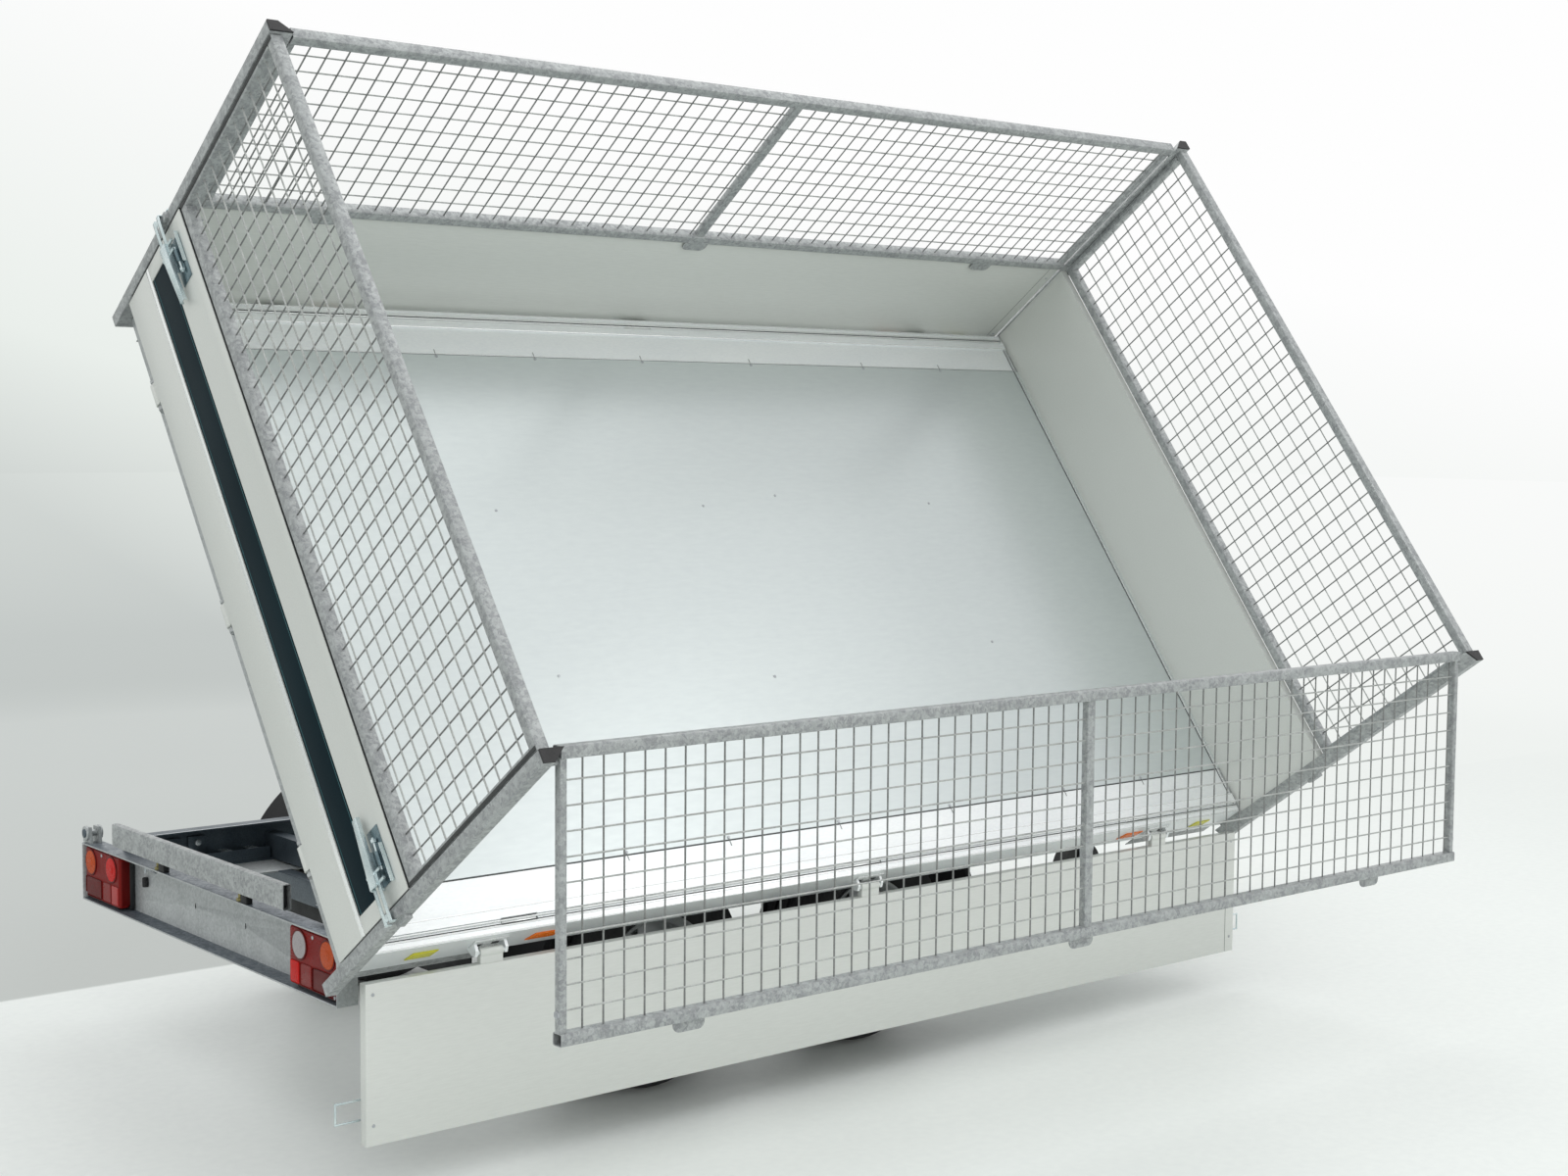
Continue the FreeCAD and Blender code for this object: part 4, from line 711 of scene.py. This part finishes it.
# Tailgate band
# A thin film of dark teal fills the shallow recess across the tailgate, with two fine pale lines and
# a bright strip on the lip of the profile below it, a painted highlight.
band_teal = patchy("band_teal", tone(8, 27, 34), tone(13, 36, 43), 3, 300, (0.5, 0.6), bump=0.02)
band_line = patchy("band_line", tone(58, 100, 104), tone(78, 120, 124), 5, 300, (0.5, 0.6), bump=0.02)
for film in (band_teal, band_line):
    film.node_tree.nodes["Principled BSDF"].inputs["Specular IOR Level"].default_value = 0.08
band = bmesh.new()
block(band, (0.0034, 0.0060), (-0.8615, 0.8615), (0.9062, 1.0060), 0.0004)
for z in (0.9150, 0.9970):
    block(band, (0.0031, 0.0040), (-0.8600, 0.8600), (z - 0.0008, z + 0.0008), 0, 1)
# A bright strip on the lip below the band: painted highlight.
block(band, (0.0012, 0.0022), (-0.9040, 0.9040), (0.8900, 0.9052), 0.0004, 2)
fitted("tailgate_band", band, [band_teal, band_line, lip_highlight], "tailgate_panel", on_bed)


# Mesh extensions
# Square tube frames, open at their corners, with welded wire mesh inside: the upright wires lie in
# the inner layer and the level ones in the outer layer. Everything is dipped in zinc after welding.
# The upright wires are painted darker as shade, the level ones paler as light on their tops.
# A darker and a paler copy of the wire zinc: painted shade on the upright wires, painted light on the level
# ones.
upright_wire_shade = patchy("upright_wire_shade", tone(104, 106, 105), tone(146, 148, 146), 25, 300, (0.4, 0.6),
                   metal=0.45, bump=0.1)
level_wire_light = patchy("level_wire_light", tone(146, 149, 147), tone(192, 195, 192), 25, 300, (0.36, 0.55),
                   metal=0.5, bump=0.1)
mesh_finishes = [dipped_steel, upright_wire_shade, level_wire_light, screw_zinc, joint_and_shade_dark]
tube_side = 0.030
rail_tube = 0.026
stile_tube = 0.017
middle_stile = 0.026
mesh_rise = 0.587
mesh_pitch = 0.050
wire_half = 0.002
inner_layer, outer_layer = 0.0128, 0.0172
side_length = 2.988
pivot_rise = 0.062


def mesh_frame(shape, length, stiles, bays, thickness):
    """Rails, stiles and wires, along X from the origin and up Z, with the inner side first along Y."""
    for z in (0, mesh_rise - rail_tube):
        tube_bar(shape, (0, length), (0, tube_side), (z, z + rail_tube), "x")
    low, high = rail_tube, mesh_rise - rail_tube
    for x in stiles:
        tube_bar(shape, x, thickness, (low, high), "z")
    for i in range(int((length - 2 * tube_side) / mesh_pitch) + 1):
        x = 2 * tube_side + i * mesh_pitch
        if any(start + 0.003 < x < end - 0.003 for start, end in bays):
            round_bar(shape, (x, inner_layer, low), (x, inner_layer, high), wire_half, 6, 1)
    rows = int((high - low) / mesh_pitch)
    first_row = low + (high - low - (rows - 1) * mesh_pitch) / 2
    for start, end in bays:
        for i in range(rows):
            z = first_row + i * mesh_pitch
            round_bar(shape, (start, outer_layer, z), (end, outer_layer, z), wire_half, 6, 2)


def side_mesh():
    """A long panel: a middle stile, three bent tabs on the lower rail and a pivot screw at each end."""
    shape = bmesh.new()
    left, right = (side_length - middle_stile) / 2, (side_length + middle_stile) / 2
    last = side_length - stile_tube
    mesh_frame(shape, side_length, [(0, stile_tube), (last, side_length), (left, right)],
               [(stile_tube, left), (right, last)], (0.005, 0.025))
    for x in (0.329, 1.494, 2.630):
        plate = block(shape, (x - 0.040, x + 0.040), (0.0004, 0.0034), (-0.028, 0.014))
        rounded(shape, [e for e in {e for f in plate for e in f.edges}
                        if abs(e.verts[0].co.y - e.verts[1].co.y) > 0.001 and e.verts[0].co.z < 0], 0.016, 4)
    for x, way in ((0.0, -1), (side_length, 1)):
        middle = Vector((x, tube_side / 2, pivot_rise))
        out = Vector((way, 0, 0))
        round_bar(shape, middle - out * 0.004, middle + out * 0.003, 0.009, 6, 3, 0.001)
        round_bar(shape, middle, middle + out * 0.0038, 0.0045, 10, 3)
    return shape


def end_mesh(length):
    """A short panel across the bed, with a dark strip of painted shade down the outer face of each stile."""
    shape = bmesh.new()
    last = length - stile_tube
    mesh_frame(shape, length, [(0, stile_tube), (last, length)], [(stile_tube, last)], (0, tube_side))
    # Dark strips down the outer face of the stiles: painted shade.
    for x in (0.001, length - 0.010):
        block(shape, (x, x + 0.009), (0.0299, 0.0312), (0.002, mesh_rise - 0.002), 0.0004, 4)
    return shape


across_bed = Matrix.Rotation(math.radians(90), 4, "Z")
side_place = Matrix.Translation((0.061, 0.907, 1.136))
hung_mesh = on_bed @ about((0, -0.922, 1.689), -tip_degrees) @ mirrored @ side_place
rear_place = on_bed @ Matrix.Translation((0.033, -0.906, 1.136)) @ across_bed
front_place = on_bed @ end_for_end @ Matrix.Translation((0.033, -0.910, 1.136)) @ across_bed
for hand, shape, body, place in (("left", side_mesh(), "mesh_left_panel", on_bed @ side_place),
                                 ("right", side_mesh(), "mesh_right_panel", hung_mesh),
                                 ("rear", end_mesh(1.812), "mesh_rear_panel", rear_place),
                                 ("front", end_mesh(1.820), "bed", front_place)):
    fitted("mesh_%s_dressed" % hand, shape, mesh_finishes, body, place, ("mesh_" + hand,))


# Studio
# A pale floor runs up into a white surround that is greyer low on the left, painted shade on the
# backdrop. A broad soft light hangs above, one stands in front, and a weak one brightens the bed.
scene = bpy.context.scene
scene.view_settings.view_transform = "Standard"
world = bpy.data.worlds.new("surround")
world.use_nodes = True
scene.world = world


def surround_colour(tree, way):
    """Painted shade on the backdrop: grey low on the left, white upwards and to the front, by the direction
    looked in.
    """
    level = wired(tree, "VectorMath", {0: way}, operation="NORMALIZE")
    parts = wired(tree, "SeparateXYZ", {0: level.outputs["Vector"]})
    rise = wired(tree, "MapRange", {"Value": parts.outputs["Z"], "From Min": -0.22, "From Max": 0.18,
                                    "To Max": 0.9})
    ahead = wired(tree, "MapRange", {"Value": parts.outputs["X"], "From Min": 0.30, "From Max": 0.86,
                                     "To Max": 0.42})
    total = wired(tree, "Math", {0: rise.outputs["Result"], 1: ahead.outputs["Result"]}, use_clamp=True)
    colours = wired(tree, "ValToRGB", {"Fac": total.outputs[0]})
    stops = colours.color_ramp.elements
    stops[0].color = tone(178, 182, 179)
    stops[1].color = tone(254, 254, 254)
    stops.new(0.40).color = tone(196, 201, 199)
    stops.new(0.62).color = tone(234, 239, 235)
    return colours.outputs["Color"]


tree = world.node_tree
looked = wired(tree, "TexCoord", {})
tree.links.new(surround_colour(tree, looked.outputs["Generated"]), tree.nodes["Background"].inputs["Color"])
rays = wired(tree, "LightPath", {})
direct = wired(tree, "Math", {0: rays.outputs["Is Camera Ray"], 1: rays.outputs["Is Glossy Ray"]})
clear = wired(tree, "Math", {0: direct.outputs[0], 1: rays.outputs["Is Transmission Ray"]}, use_clamp=True)
lit = wired(tree, "Background", {"Color": (0.97, 0.98, 1.0, 1), "Strength": 0.97})
choose = wired(tree, "MixShader", {0: clear.outputs[0], 1: lit.outputs[0],
                                   2: tree.nodes["Background"].outputs[0]})
tree.links.new(choose.outputs[0], tree.nodes["World Output"].inputs["Surface"])

# The floor fades with distance into a glowing copy of the surround's colour, and more sharply behind the
# left side. That colour is looked up half a metre lower, so it darkens near the trailer: a painted shadow.
floor_paint = patchy("studio_floor", tone(228, 232, 228), tone(234, 238, 233), 0.6, 40, (0.4, 0.5), bump=0.0)
tree = floor_paint.node_tree
where = wired(tree, "TexCoord", {})
centred = wired(tree, "VectorMath", {0: where.outputs["Object"], 1: (2.4, 0, ball.z)}, operation="ADD")
reach = wired(tree, "VectorMath", {0: centred.outputs["Vector"]}, operation="LENGTH")
fade = wired(tree, "MapRange", {"Value": reach.outputs["Value"], "From Min": 2.6, "From Max": 9.0},
             interpolation_type="SMOOTHSTEP")
across = wired(tree, "SeparateXYZ", {0: centred.outputs["Vector"]})
step = wired(tree, "MapRange", {"Value": across.outputs["Y"], "From Min": 1.10, "From Max": 1.12,
                                "To Max": 0.75})
most = wired(tree, "Math", {0: fade.outputs["Result"], 1: step.outputs["Result"]}, operation="MAXIMUM")
# Looked up lower, the surround's colour darkens near the trailer: painted shadow.
lowered = wired(tree, "VectorMath", {0: centred.outputs["Vector"], 1: (0, 0, -0.5)}, operation="ADD")
far = wired(tree, "Emission", {"Color": surround_colour(tree, lowered.outputs["Vector"])})
blend = wired(tree, "MixShader", {0: most.outputs[0], 1: tree.nodes["Principled BSDF"].outputs[0],
                                  2: far.outputs[0]})
tree.links.new(blend.outputs[0], tree.nodes["Material Output"].inputs["Surface"])
shape = bmesh.new()
bmesh.ops.create_grid(shape, x_segments=8, y_segments=8, size=60.0,
                      matrix=Matrix.Translation((-2.4, 0, -ball.z)))
mesh = bpy.data.meshes.new("studio_floor")
shape.to_mesh(mesh)
shape.free()
mesh.materials.append(floor_paint)
studio_floor = bpy.data.objects.new("studio_floor", mesh)
scene.collection.objects.link(studio_floor)


def soft_light(name, spot, target, size, power):
    """A square lamp that faces the target."""
    lamp = bpy.data.lights.new(name, "AREA")
    lamp.shape = "SQUARE"
    lamp.size = size
    lamp.energy = power
    made = bpy.data.objects.new(name, lamp)
    made.location = spot
    made.rotation_euler = (Vector(target) - Vector(spot)).to_track_quat("-Z", "Y").to_euler()
    scene.collection.objects.link(made)


soft_light("overhead_light", (-2.0, 0.9, 4.6), (-2.8, 0, 0.2), 5.0, 62)
soft_light("ahead_light", (-0.4, -3.9, 3.9), (-3.2, -0.6, 0.5), 2.0, 18)
soft_light("front_light", (-5.5, -7.5, 3.0), (-2.8, 0, 0.6), 4.0, 84)


# Camera
# Behind the trailer and to its right, a little above the level of the bed.
camera_spot = (-6.7332, -5.2650, 1.2505)
turn, dip, roll = math.radians(50.265), math.radians(-4.307), math.radians(0.466)
ahead = Vector((math.cos(dip) * math.cos(turn), math.cos(dip) * math.sin(turn), math.sin(dip)))
beside = Vector((math.sin(turn), -math.cos(turn), 0))
above = beside.cross(ahead)
right = beside * math.cos(roll) + above * math.sin(roll)
up = above * math.cos(roll) - beside * math.sin(roll)
lens = bpy.data.cameras.new("camera")
lens.sensor_width = 36
lens.lens = 50.68
camera = bpy.data.objects.new("camera", lens)
camera.matrix_world = Matrix((*zip(right, up, -ahead, camera_spot), (0, 0, 0, 1)))
scene.collection.objects.link(camera)
scene.camera = camera
